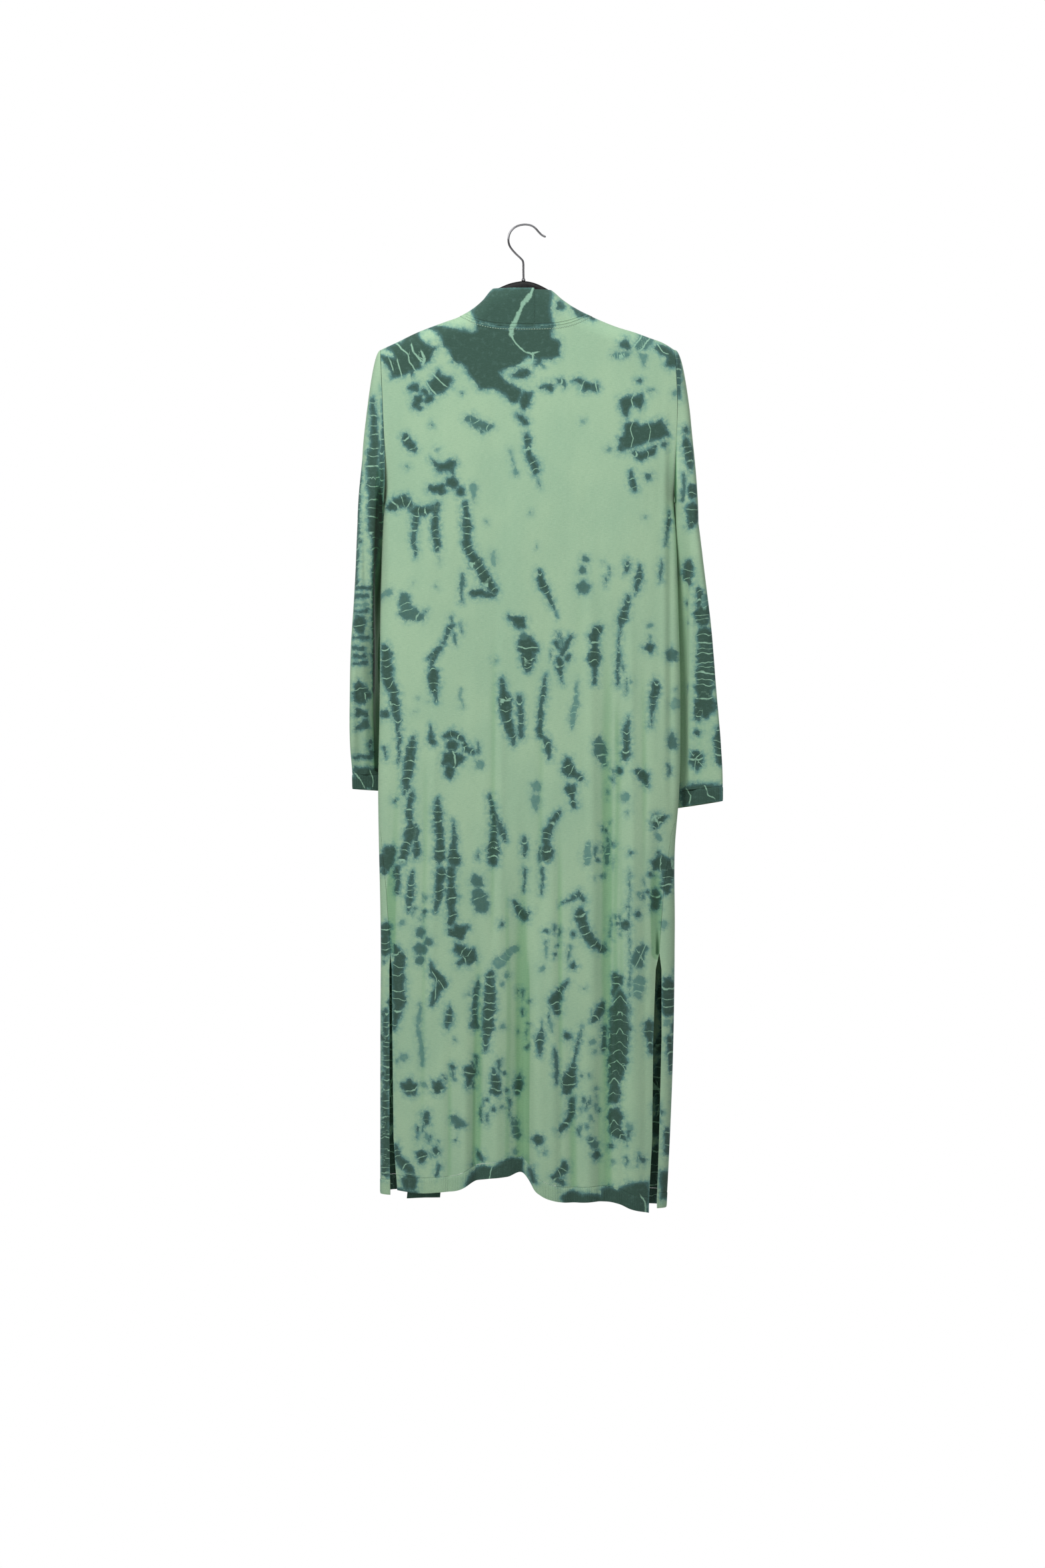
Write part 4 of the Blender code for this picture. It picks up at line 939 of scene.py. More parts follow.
RIGHT_SLEEVE_STAINS = """
chain 1 13.2: 220 -185 3, 221 -204 4.5, 220 -226 3.8, 220 -249 1.5
chain 1 0: 227 -294 5.3
chain 1 10.8: 229 -311 7.5, 231 -324 6.8, 233 -339 6, 233 -350 3
chain 1 13.2: 236 -377 6.8, 237 -388 6
chain 1 12: 236 -403 7.5, 238 -420 9, 236 -429 4.5
chain 0.8 0: 224 -358 2.3, 223 -392 2.6
chain 1 13.2: 233 -484 6.8, 231 -499 10.5, 233 -510 4.5
chain 1 10.8: 245 -519 3.8, 248 -530 6, 246 -542 3.8
chain 0.8 0: 223 -538 3.8
chain 0.6 8.4: 253 -532 5.3, 254 -551 6
chain 1 8.4: 252 -551 11.3, 252 -564 10.5
chain 0.95 9: 255 -581 11.3, 256 -609 12.8, 257 -634 12.8, 255 -660 13.5
chain 1 13.2: 254 -671 15, 254 -688 13.5, 246 -701 5.3
chain 0.45 0: 227 -566 3.8
chain 0.45 0: 227 -660 4.5
chain 1 0: 246 -724 4.5
chain 1 13.2: 243 -756 9.8, 245 -769 9.8
vein 1 0.7: 235 -751, 243 -761, 241 -778
vein 1 0.6: 252 -752, 243 -760, 253 -771
chain 1 12: 273 -716 3.8, 274 -739 6, 276 -765 6
area 1 0: 248 -795, 270 -797, 270 -837, 248 -837
chain 0.9 0: 233 -807 3, 234 -822 3
area 1 0: 223 -801, 250 -796, 280 -798, 281 -822, 250 -827, 225 -830
vein 1 0.9: 231 -803, 237 -815, 235 -826
vein 1 0.8: 256 -799, 260 -811, 269 -818
"""

# The surface of the cloth


def curve(at, places, values):
    """A smooth curve through a table's points, read at some places."""
    if places[0] > places[-1]:
        places, values = places[::-1], values[::-1]
    slopes = np.gradient(values, places)
    at = np.clip(at, places[0], places[-1])
    k = np.clip(np.searchsorted(places, at, side="right") - 1, 0, len(places) - 2)
    step = places[k + 1] - places[k]
    t = (at - places[k]) / step
    keep = (1 + 2 * t) * (1 - t) ** 2
    near = values[k] * keep + values[k + 1] * (1 - keep)
    return near + step * t * (1 - t) * (slopes[k] * (1 - t) - slopes[k + 1] * t)


def eased(t):
    """0 below 0 and 1 above 1, with a soft start and end."""
    t = np.clip(t, 0.0, 1.0)
    return t * t * (3 - 2 * t)


def mixed(start, end, share):
    """The value that lies this share of the way from start to end."""
    return start + (end - start) * share


def spacing_of_columns():
    """How far round the typical cross-section each point across it lies, both from -1 to 1."""
    angle = math.pi / 2 * np.linspace(0.0, 1.0, SECTION_SAMPLES) ** 2
    across = np.cos(angle) ** (2 / ROUNDING)
    deep = np.sin(angle) ** (2 / ROUNDING)
    steps = np.hypot(TYPICAL_HALF_WIDTH * np.diff(across), TYPICAL_HALF_DEPTH * np.diff(deep))
    turn = 1 - np.concatenate([[0.0], np.cumsum(steps)]) / np.sum(steps)
    return across[::-1], turn[::-1], float(np.sum(steps))


ACROSS, TURN, TURN_LENGTH = spacing_of_columns()


def across_of(turn):
    """The place across the body, from -1 to 1, of a place round it."""
    return np.sign(turn) * np.interp(np.abs(turn), TURN, ACROSS)


def turn_of(across):
    """The place round the body, from -1 to 1, of a place across it."""
    return np.sign(across) * np.interp(np.abs(across), ACROSS, TURN)


def ridge(x):
    """The height of the cloth's top line over the hanger."""
    return curve(x, RIDGE["x"], RIDGE["z"])


def neckline(x):
    """The height of the seam between the back and the neck band."""
    reach = np.where(x < 0, NECK_LEFT, NECK_RIGHT)
    return NECK_LOW + NECK_RISE * np.abs(x / reach) ** NECK_POWER


def outline(z):
    """The middle and half width of the body at a height."""
    left = curve(z, OUTLINE["z"], OUTLINE["left"])
    right = curve(z, OUTLINE["z"], OUTLINE["right"])
    return (left + right) / 2, (right - left) / 2


def fold(x, z, folds):
    """The sum of a table's troughs and ridges."""
    total = np.zeros(np.broadcast(x, z).shape)
    down = np.clip((z - STRAIGHT_FROM) / (STRAIGHT_TO - STRAIGHT_FROM), 0.0, 1.1)
    for k in range(len(folds["depth"])):
        centre = mixed(folds["x_top"][k], folds["x_hem"][k], down)
        grown = eased((z - folds["z_start"][k]) / (folds["z_full"][k] - folds["z_start"][k]))
        total = total + folds["depth"][k] * grown * np.exp(-(((x - centre) / folds["half_width"][k]) ** 2))
    return total


def lips(x, z):
    """Folds whose left side is steep: the cloth to the right of the line comes forward and fades away."""
    total = np.zeros(np.broadcast(x, z).shape)
    down = np.clip((z - STRAIGHT_FROM) / (STRAIGHT_TO - STRAIGHT_FROM), 0.0, 1.1)
    for k in range(len(BACK_LIPS["depth"])):
        beyond = x - mixed(BACK_LIPS["x_top"][k], BACK_LIPS["x_hem"][k], down)
        grown = eased((z - BACK_LIPS["z_start"][k]) / (BACK_LIPS["z_full"][k] - BACK_LIPS["z_start"][k]))
        edge = 1 / (1 + np.exp(-beyond / BACK_LIPS["edge"][k]))
        fading = np.exp(-np.maximum(beyond, 0) / BACK_LIPS["reach"][k])
        total = total + BACK_LIPS["depth"][k] * grown * edge * fading
    return total


def creased(u, z, rows):
    """Small creases along slanting lines that fade at both ends, for any piece. Positive is inward."""
    total = np.zeros(np.broadcast(u, z).shape)
    for u_top, z_top, u_low, z_low, half_width, depth in rows:
        t = (z - z_top) / (z_low - z_top)
        off = (u - mixed(u_top, u_low, t)) / half_width
        total = total + depth * eased(t / 0.25) * eased((1 - t) / 0.25) * np.exp(-(off**2))
    return total


def lattice(seed):
    """A square of evenly spread random numbers, the same on each run."""
    return np.random.RandomState(seed).uniform(-1.0, 1.0, (64, 64))


def rough(u, v, seed):
    """Smooth noise from -1 to 1, whose lumps are one unit apart."""
    values = lattice(seed)
    i, j = np.floor(u).astype(int), np.floor(v).astype(int)
    s, t = eased(u - i), eased(v - j)
    i, j = i % 64, j % 64
    near = mixed(values[i, j], values[(i + 1) % 64, j], s)
    far = mixed(values[i, (j + 1) % 64], values[(i + 1) % 64, (j + 1) % 64], s)
    return mixed(near, far, t)


def softness(u, z, seed):
    """The small unevenness of hanging jersey, longer down the cloth than across it."""
    broad = rough(u / 42 + 7, z / 210, seed) * 1.1
    narrow = rough(u / 15 + 3, z / 95, seed + 1) * 0.45
    low = eased((-z - 160) / 300)
    return (broad + narrow) * mixed(0.35, 1.0, low)


def armhole_share(z):
    """How far from the middle the body's edge lies, as a share of its depth: only along the armhole."""
    drop = np.clip((SHOULDER_TIP - z) / (SHOULDER_TIP - UNDERARM), 0.0, 1.0)
    return ARMHOLE_DEPTH * np.sqrt(1 - drop**2.5)


def body_at(across, z, side):
    """A point on the cloth of the body, from its place across the body, its height and its side."""
    middle, half = outline(z)
    x = middle + half * across
    kept = armhole_share(z)
    shrink = (1 - kept**ROUNDING) ** (1 / ROUNDING)
    full = np.clip(1 - np.abs(across * shrink) ** ROUNDING, 0.0, 1.0) ** (1 / ROUNDING)
    drop = np.clip(ridge(x) - z, 0.0, SHOULDER_ROUND) / SHOULDER_ROUND
    over_arm = np.sqrt(np.clip(1 - (1 - drop) ** 2, 0.0, 1.0))
    depth = curve(z, HALF_DEPTH["z"], HALF_DEPTH["depth"]) * full * over_arm
    folds = np.where(side < 0, fold(x, z, BACK_FOLDS) + lips(x, z), fold(x, z, FRONT_FOLDS))
    on_back = creased(x, z, BACK_CREASES) + softness(x, z, 5)
    on_front = creased(x, z, FRONT_CREASES) + softness(x, z, 11)
    folds = folds - side * np.where(side < 0, on_back, on_front)
    y = side * np.hypot(depth, SEAM_HALF) + folds * full * eased(drop)
    return np.stack([x, y, z + 0 * x], axis=-1)


def body_round(turn, z):
    """A point on the body from the way round it: -1 is its left edge, 1 its right, and past them are the
    fronts."""
    side = np.where(np.abs(turn) > 1, FRONT, BACK)
    inner = np.where(turn < -1, -2 - turn, np.where(turn > 1, 2 - turn, turn))
    return body_at(across_of(inner), z, side)


def turn_at(x, z):
    """The way round the back at which the body has this x."""
    middle, half = outline(z)
    return turn_of(np.clip((x - middle) / half, -1.0, 1.0))


def side_turn(z, name):
    """The way round of a side seam or a slit's edge. It is the outline's own edge down to where it turns."""
    edge = LEFT if name.endswith("left") else RIGHT
    seam = turn_at(np.interp(-z, -SIDE_EDGES["z"], SIDE_EDGES[name]), z)
    return mixed(edge, seam, eased((z - SEAM_TURNS) / (SIDE_EDGES["z"][0] - SEAM_TURNS)))


def height(row, top, bottom):
    """The height of a row, which follows the top edge, then is level, then follows the lower edge."""
    straight_top = STRAIGHT_ROWS[0]
    fall = np.array(TOP_DROPS) / (SHOULDER_TIP - straight_top)
    top_heights = [mixed(top, straight_top, part) for part in fall]
    levels = [np.full(np.shape(top), float(z)) for z in STRAIGHT_ROWS]
    rows = np.array(top_heights + levels + [bottom + 0 * top])
    k = np.clip(np.floor(row).astype(int), 0, len(rows) - 2)
    low = np.take_along_axis(rows, k[None, ...], axis=0)[0]
    high = np.take_along_axis(rows, k[None, ...] + 1, axis=0)[0]
    return mixed(low, high, row - k)


def fine_rows(step):
    """The rows of a panel with more between them, so that they lie about one step apart."""
    levels = [SHOULDER_TIP - drop for drop in TOP_DROPS] + list(STRAIGHT_ROWS) + [HEM_READ_AT + RIB_HEIGHT]
    rows = [0.0]
    for k in range(len(levels) - 1):
        parts = max(1, round((levels[k] - levels[k + 1]) / step))
        rows += [k + (n + 1) / parts for n in range(parts)]
    if len(rows) % 2 == 0:
        rows.insert(-1, (rows[-1] + rows[-2]) / 2)
    return np.array(rows)


def back_turn(column, z):
    """The way round of a column of the back, whose edges keep half a seam gap from the seams."""
    gap = SEAM_HALF / TURN_LENGTH
    left = side_turn(z, "back_left") + gap
    right = side_turn(z, "back_right") - gap
    return mixed(left, right, (column + 1) / 2)


def top_edge(turn_function, column, *fixed):
    """The height at which a column of a panel meets the top line of the cloth."""
    z = SHOULDER_TIP + 0 * column
    for _ in range(5):
        turn = turn_function(column, z, *fixed)
        middle, half = outline(z)
        inner = np.where(turn < -1, -2 - turn, np.where(turn > 1, 2 - turn, turn))
        x = middle + half * across_of(inner)
        z = ridge(x)
    return x, z


def back_edges(column):
    """The heights of the top edge and the hem of the back at a column."""
    x, top = top_edge(back_turn, column)
    in_neck = (x > NECK_LEFT) & (x < NECK_RIGHT)
    top = np.where(in_neck, np.minimum(neckline(x) - SEAM_HALF, top), top)
    turn = back_turn(column, HEM_READ_AT)
    middle, half = outline(np.array(HEM_READ_AT))
    return top, curve(middle + half * across_of(turn), BACK_HEM["x"], BACK_HEM["z"])


def back_point(column, row):
    """A point on the back: columns from -1 to 1 across it, rows from its top down to its rib's seam."""
    top, hem = back_edges(column)
    z = height(row, top, hem + RIB_HEIGHT + SEAM_HALF)
    return body_round(back_turn(column, z), z)


def back_rib_point(column, row):
    """Row 0 is the seam above the rib, row 1 the hem."""
    hem = back_edges(column)[1]
    z = mixed(hem + RIB_HEIGHT - SEAM_HALF, hem, row)
    return body_round(back_turn(column, z), z)


def band_x(z, hand, edge):
    """The x of the sewn or the free edge of the front band at a height."""
    name = ("left_" if hand < 0 else "right_") + edge
    return curve(z, BAND_EDGES["z"], BAND_EDGES[name])


def front_turn(share, z, hand):
    """The way round of a column of a front: 0 at its side edge, 1 at the band."""
    gap = SEAM_HALF / TURN_LENGTH
    side = side_turn(z, "front_left" if hand < 0 else "front_right")
    at_band = 2 * hand - turn_at(band_x(z, hand, "seam") + hand * SEAM_HALF, z)
    return mixed(side + hand * gap, at_band, share)


def front_point(share, row, hand):
    """A point on a front, from its side seam, 0, to its band, 1, and down its rows."""
    top = top_edge(front_turn, share, hand)[1]
    hem = mixed(FRONT_HEM[hand][0], FRONT_HEM[hand][1], share)
    z = height(row, top, hem + RIB_HEIGHT + SEAM_HALF)
    return body_round(front_turn(share, z, hand), z)


def front_rib_point(share, row, hand):
    """Row 0 is the seam above the front's rib, row 1 its hem."""
    hem = mixed(FRONT_HEM[hand][0], FRONT_HEM[hand][1], share)
    z = mixed(hem + RIB_HEIGHT - SEAM_HALF, hem, row)
    return body_round(front_turn(share, z, hand), z)


def band_point(width, way, hand):
    """A point on the neck and front band. width runs from its sewn edge, 0, to its free edge, 1. way runs
    from the centre back, -1, to the top of the hanger's arm, 0, and then down the rows of the front."""
    seam_x = NECK_LEFT if hand < 0 else NECK_RIGHT
    free_x = float(band_x(np.array(-90.0), hand, "free"))
    centre_x = BAND_SEAM_X + hand * SEAM_HALF
    back = np.clip(-way, 0.0, 1.0)
    back_seam_x = mixed(seam_x, centre_x, back)
    back_free_x = mixed(free_x, centre_x, back)
    back_seam_z = np.minimum(neckline(back_seam_x) + SEAM_HALF, ridge(back_seam_x))
    back_free_z = np.minimum(ridge(free_x) + 0 * back_free_x, ridge(back_free_x))
    row = np.maximum(way, 0.0)
    end = BAND_HEM[hand] + RIB_HEIGHT + SEAM_HALF
    front_seam_z = height(row, ridge(seam_x) + 0 * row, end)
    front_free_z = height(row, ridge(free_x) + 0 * row, end)
    front_seam_x = band_x(front_seam_z, hand, "seam") - hand * SEAM_HALF
    front_free_x = band_x(front_free_z, hand, "free")
    on_back = way < 0
    seam = (np.where(on_back, back_seam_x, front_seam_x), np.where(on_back, back_seam_z, front_seam_z))
    free = (np.where(on_back, back_free_x, front_free_x), np.where(on_back, back_free_z, front_free_z))
    x = mixed(seam[0], free[0], width)
    z = mixed(seam[1], free[1], width)
    on_arm = np.abs(way) < 1e-9
    z = np.where(on_arm, ridge(x), np.minimum(z, ridge(x)))
    middle, half = outline(z)
    point = body_at((x - middle) / half, z, np.where(on_back, BACK, FRONT))
    point[..., 1] = np.where(on_arm, 0.0, point[..., 1])
    return point


def band_rib_point(width, row, hand):
    """The ribbed end of the band: row 0 is the seam above it, row 1 its lower edge."""
    z = mixed(BAND_HEM[hand] + RIB_HEIGHT - SEAM_HALF, BAND_HEM[hand] + 0 * width, row)
    seam_x = band_x(z, hand, "seam") - hand * SEAM_HALF
    x = mixed(seam_x, band_x(z, hand, "free"), width)
    middle, half = outline(z)
    return body_at((x - middle) / half, z, FRONT)


def armhole(drop, side, hand):
    """A point on the armhole's edge, the cloth's normal there, and the direction out of the panel."""
    z = SHOULDER_TIP - drop
    step = 1e-3
    at = body_at(hand, z, side)
    inward = body_at(hand * (1 - 1e-6), z, side)
    below = body_at(hand, z - step, side)
    outward = (at - inward) / np.linalg.norm(at - inward)
    along = (below - at) / np.linalg.norm(below - at)
    normal = np.cross(along, outward)
    normal = normal / np.linalg.norm(normal)
    if normal[1] * side < 0:
        normal = -normal
    out = outward - np.dot(outward, along) * along
    return at, normal, out / np.linalg.norm(out)


def armhole_end(top, hand):
    """The armhole's highest or lowest point, in the same form."""
    if not top:
        middle, half = outline(np.array(UNDERARM))
        lowest = np.array([middle + hand * half, 0.0, UNDERARM])
        return lowest, np.array([hand, 0, 0]), np.array([0, 0, 1.0])
    middle, half = outline(np.array(SHOULDER_TIP))
    x = middle + hand * half
    slope = (ridge(x) - ridge(x - hand)) * hand
    along = np.array([hand, 0.0, hand * slope])
    along = along / np.linalg.norm(along)
    return np.array([x, 0.0, SHOULDER_TIP]), np.array([-along[2] * hand, 0, along[0] * hand]), along


def sleeve_ring(angle, z, hand):
    """A point on a level ring of a sleeve. The angle is 0 at its outer side and a quarter at its rear end."""
    rings = SLEEVE_RINGS[hand]
    values = {name: curve(z, rings["z"], rings[name]) for name in rings}
    turn = np.radians(values["turn"])
    reach = np.hypot(values["half_long"] * np.cos(turn), values["half_short"] * np.sin(turn))
    long_x, long_y = -hand * np.cos(turn), np.sin(turn)
    short_x, short_y = hand * np.sin(turn), np.cos(turn)
    rear = -np.sin(angle) * values["half_long"]
    outer = np.cos(angle) * values["half_short"]
    x = hand * (values["outer"] - reach) + long_x * rear + short_x * outer
    y = values["y"] + long_y * rear + short_y * outer
    return np.stack([x, y, z + np.sin(angle) * values["tilt"] + 0 * x], axis=-1)


def sleeve_angles():
    """The columns of a sleeve, evenly spaced in angle, from its top down the back and up the front."""
    return np.arange(SLEEVE_COLUMNS) * 2 * math.pi / SLEEVE_COLUMNS


def bezier(start, handle, arrive, end, t):
    """A point along a cubic curve that leaves start towards handle and reaches end from arrive."""
    s = 1 - t
    return s**3 * start + 3 * s * s * t * handle + 3 * s * t * t * arrive + t**3 * end


def sleeve_grid(hand):
    """The sleeve's middle surface: a cap that leaves the armhole and bends down, then level rings."""
    top_ring = float(SLEEVE_RINGS[hand]["z"][0])
    columns = []
    steps = np.linspace(0.0, 1.0, CAP_ROWS) ** 1.15
    rings = np.linspace(top_ring, SLEEVE_ENDS[hand], round((top_ring - SLEEVE_ENDS[hand]) / DOWN_STEP))[1:]
    for angle in sleeve_angles():
        low = (1 - math.cos(angle)) / 2
        drop = low * (SHOULDER_TIP - UNDERARM)
        side = BACK if angle < math.pi else FRONT
        if low < 1e-9 or low > 1 - 1e-9:
            edge, normal, out = armhole_end(low < 0.5, hand)
        else:
            edge, normal, out = armhole(drop, side, hand)
        bend = math.pi / 2 * float(eased((low - BEND_FROM) / (1 - BEND_FROM)))
        leave = math.cos(bend) * out + math.sin(bend) * normal
        start = edge + 2 * SEAM_GAP * leave + PANEL_WALL / 2 * math.sin(bend) * normal
        end = sleeve_ring(angle, top_ring, hand)
        fall = start[2] - end[2]
        handle = start + leave * mixed(CAP_REACH, UNDERARM_REACH, low)
        handle[2] -= CAP_DROP * fall * math.sin(angle) ** 2
        arrive = end + np.array([0.0, 0.0, CAP_DROP * fall])
        columns.append([bezier(start, handle, arrive, end, t) for t in steps])
    cap = np.array(columns)
    below = sleeve_ring(sleeve_angles()[:, None], rings[None, :], hand)
    grid = np.concatenate([cap, below], axis=1)
    return grid if grid.shape[1] % 2 else np.delete(grid, 1, axis=1)


# The pieces


def grid_normals(points, closed=False):
    """The normals of a grid, which may close on itself across its columns."""
    if closed:
        across = np.roll(points, -1, axis=0) - np.roll(points, 1, axis=0)
    else:
        across = np.gradient(points, axis=0)
    along = np.gradient(points, axis=1)
    normals = np.cross(across, along)
    return normals / np.maximum(np.linalg.norm(normals, axis=-1, keepdims=True), 1e-9)


def facing_out(points, normals):
    """The same normals, pointing away from the body's middle plane more than from its middle line."""
    away = points[..., :2] * np.array([0.2, 1.0])
    return normals if np.sum(away * normals[..., :2]) > 0 else -normals


def grid_faces(count, rows, shift, closed, flip):
    """The quads of a grid of points that starts at a given index."""
    faces = []
    for i in range(count if closed else count - 1):
        a = shift + i * rows
        b = shift + (i + 1) % count * rows
        for k in range(rows - 1):
            quad = (a + k, b + k, b + k + 1, a + k + 1)
            faces.append(quad[::-1] if flip else quad)
    return faces


def shell(name, points, normals, outer, inner, closed=False):
    """A thin shell of cloth round a middle surface: a fine outer side, an inner side with every other
    point, and rims between them."""
    count, rows = points.shape[:2]
    out = points + normals * outer
    inside = (points - normals * inner)[::2, ::2]
    inner_count, inner_rows = inside.shape[:2]
    shift = count * rows
    faces = grid_faces(count, rows, 0, closed, False)
    faces += grid_faces(inner_count, inner_rows, shift, closed, True)
    for i in range(inner_count if closed else inner_count - 1):
        j = (i + 1) % inner_count
        for k, kk in ((0, 0), (rows - 1, inner_rows - 1)):
            a, b, c = (2 * i) * rows + k, (2 * i + 1) * rows + k, (2 * j) * rows + k
            faces.append((a, b, c, shift + j * inner_rows + kk, shift + i * inner_rows + kk))
    if not closed:
        for i, ii in ((0, 0), (count - 1, inner_count - 1)):
            for k in range(inner_rows - 1):
                a = i * rows + 2 * k
                start = shift + ii * inner_rows + k
                faces.append((a, a + 1, a + 2, start + 1, start))
    vertices = np.concatenate([out.reshape(-1, 3), inside.reshape(-1, 3)])
    return new_piece(name, vertices, faces)


def new_piece(name, vertices, faces):
    """A closed mesh as a smooth piece that rides on the body. The vertices are in millimetres."""
    mesh = bpy.data.meshes.new(name)
    mesh.from_pydata((vertices * MM).tolist(), [], faces)
    form = bmesh.new()
    form.from_mesh(mesh)
    bmesh.ops.recalc_face_normals(form, faces=form.faces)
    form.to_mesh(mesh)
    form.free()
    mesh.shade_smooth()
    mesh.set_sharp_from_angle(angle=SHARP_ANGLE)
    piece = bpy.data.objects.new(name, mesh)
    bpy.context.scene.collection.objects.link(piece)
    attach(piece, "root")
    return piece


# The dye


def stained(text):
    """The table of stains: each is its kind, its tone, its rung spacing and its points."""
    stains = []
    for line in text.strip().replace(",\n", ",").splitlines():
        head, body = line.split(":")
        kind, tone, period = head.split()
        points = np.array([[float(c) for c in place.split()] for place in body.split(",")])
        stains.append((kind, float(tone), float(period), points))
    return stains


def along_chain(u, z, points, period, seed, peak=0.0):
    """How deep each place lies in a chain of beads, and how far along it lies."""
    best = np.full(u.shape, -99.0)
    place = np.zeros(u.shape)
    start = 0.0
    for k in range(max(1, len(points) - 1)):
        u0, z0, r0 = points[k]
        u1, z1, r1 = points[min(k + 1, len(points) - 1)]
        du, dz = u1 - u0, z1 - z0
        length = math.hypot(du, dz) + 1e-6
        t = np.clip(((u - u0) * du + (z - z0) * dz) / length**2, 0.0, 1.0)
        off_u, off_z = u - u0 - t * du, z - z0 - t * dz
        far = np.hypot(off_u, off_z)
        aside = (off_u * dz - off_z * du) / length
        at = start + t * length
        sway = np.sin(at * 0.53 + seed) * np.sin(at * 0.29 + 2.1 * seed)
        radius = mixed(r0, r1, t) * (1 + BEAD_UNEVENNESS * sway)
        spokes = np.sin(SPOKES * np.arctan2(off_z, off_u) + seed) * SPOKE_DEPTH + 1
        depth = radius * spokes - far
        if period > 0:
            beat = np.abs(np.sin(math.pi * at / period))
            depth = depth - PINCH * radius * (1 - beat) ** 2
        nearer = depth > best
        best = np.where(nearer, depth, best)
        bow = 0.16 * (aside / np.maximum(radius, 1.0)) ** 2 * np.sin(seed)
        peaked = peak * np.abs(aside) / max(period, 1.0)
        uneven = 0.2 * np.sin(2.4 * at / max(period, 1.0) + seed)
        place = np.where(nearer, at / max(period, 1.0) + uneven + bow - peaked + 0.5, place)
        start += length
    return best, place


def inside_area(u, z, points):
    """How deep each place lies inside a polygon, negative outside."""
    nearest = np.full(u.shape, 1e9)
    crossings = np.zeros(u.shape, bool)
    for k in range(len(points)):
        u0, z0 = points[k][:2]
        u1, z1 = points[(k + 1) % len(points)][:2]
        du, dz = u1 - u0, z1 - z0
        t = np.clip(((u - u0) * du + (z - z0) * dz) / (du * du + dz * dz + 1e-9), 0.0, 1.0)
        nearest = np.minimum(nearest, np.hypot(u - u0 - t * du, z - z0 - t * dz))
        spans = (z0 > z) != (z1 > z)
        crossings ^= spans & (u < u0 + (z - z0) * du / (dz if abs(dz) > 1e-9 else 1e-9))
    return np.where(crossings, nearest, -nearest)


def vein_distance(u, z, points):
    """How near a line is, and the signed distance to it."""
    best = np.full(u.shape, 99.0)
    signed = np.full(u.shape, 99.0)
    for k in range(len(points) - 1):
        u0, z0 = points[k][:2]
        u1, z1 = points[k + 1][:2]
        du, dz = u1 - u0, z1 - z0
        length = math.hypot(du, dz) + 1e-6
        t = np.clip(((u - u0) * du + (z - z0) * dz) / length**2, 0.0, 1.0)
        far = np.hypot(u - u0 - t * du, z - z0 - t * dz)
        side = np.sign((u - u0) * dz - (z - z0) * du)
        nearer = far < best
        best = np.where(nearer, far, best)
        signed = np.where(nearer, far * np.where(side == 0, 1, side), signed)
    return best, signed


def dye(u, z, stains):
    """Each place's depth in the nearest stain, that stain's tone, the place along its rungs and their
    spacing, and the signed distance to a pale line."""
    shape = u.shape
    u, z = u.ravel(), z.ravel()
    warped_u = u + 1.9 * rough(u / 9, z / 12, 21) + 0.9 * rough(u / 4, z / 4.5, 22)
    warped_z = z + 2.2 * rough(u / 9, z / 12, 23) + 1.0 * rough(u / 4, z / 4.5, 24)
    depth = np.full(u.shape, -DEEPEST)
    tone = np.full(u.shape, 0.8)
    rung = np.zeros(u.shape)
    spacing = np.zeros(u.shape)
    vein = np.full(u.shape, DEEPEST)
    line = np.zeros(u.shape)
    for n, (kind, strength, period, points) in enumerate(stains):
        reach = DEEPEST + (points[:, 2].max() if points.shape[1] > 2 else 0.0)
        low, high = points.min(axis=0) - reach, points.max(axis=0) + reach
        near = (u > low[0]) & (u < high[0]) & (z > low[1]) & (z < high[1])
        if not near.any():
            continue
        pu, pz = warped_u[near], warped_z[near]
        if kind == "vein":
            far, signed = vein_distance(u[near] + 0.4 * rough(u[near] / 5, z[near] / 5, 31), pz, points)
            closer = far / max(period, 0.1) < np.abs(vein[near])
            vein[near] = np.where(closer, signed / max(period, 0.1), vein[near])
            line[near] = np.maximum(line[near], eased((2.2 + 1.1 * period - far) / 1.6))
            continue
        if kind == "area":
            inside, place = inside_area(pu, pz, points), np.zeros(pu.shape)
            period = 0.0
        else:
            peak = CHEVRON if kind == "chevron" else 0.0
            inside, place = along_chain(pu, pz, points, period, n * 1.7, peak)
        deeper = inside > depth[near]
        depth[near] = np.where(deeper, inside, depth[near])
        tone[near] = np.where(deeper, strength, tone[near])
        rung[near] = np.where(deeper, place, rung[near])
        spacing[near] = np.where(deeper, period, spacing[near])
    values = {"depth": depth, "tone": tone, "rung": rung, "spacing": spacing, "vein": vein, "line": line}
    return {name: value.reshape(shape) for name, value in values.items()}


def spread(seed, count, u_low, u_high, z_low, z_high):
    """Stains of the same kinds for the sides that the photo doesn't show."""
    random = np.random.RandomState(seed)
    stains = []
    for _ in range(count):
        u, z = random.uniform(u_low, u_high), random.uniform(z_low, z_high)
        tone = random.choice([1.0, 1.0, 0.85, 0.5])
        kind = random.randint(0, 4)
        if kind == 0:
            points = [(u, z, random.uniform(4, 11))]
            period = 0.0
        else:
            length = random.uniform(25, 95)
            links = random.randint(3, 6)
            broad = random.uniform(3, 8)
            points = []
            for k in range(links):
                t = k / (links - 1)
                swell = math.sin(math.pi * min(max(t, 0.08), 0.92))
                sway = random.uniform(-4, 4)
                points.append((u + sway, z - length * t, 1 + broad * swell * random.uniform(0.7, 1.2)))
            period = random.choice([8.0, 10.0, 12.0])
        stains.append(("chain", tone, period, np.array(points)))
    return stains


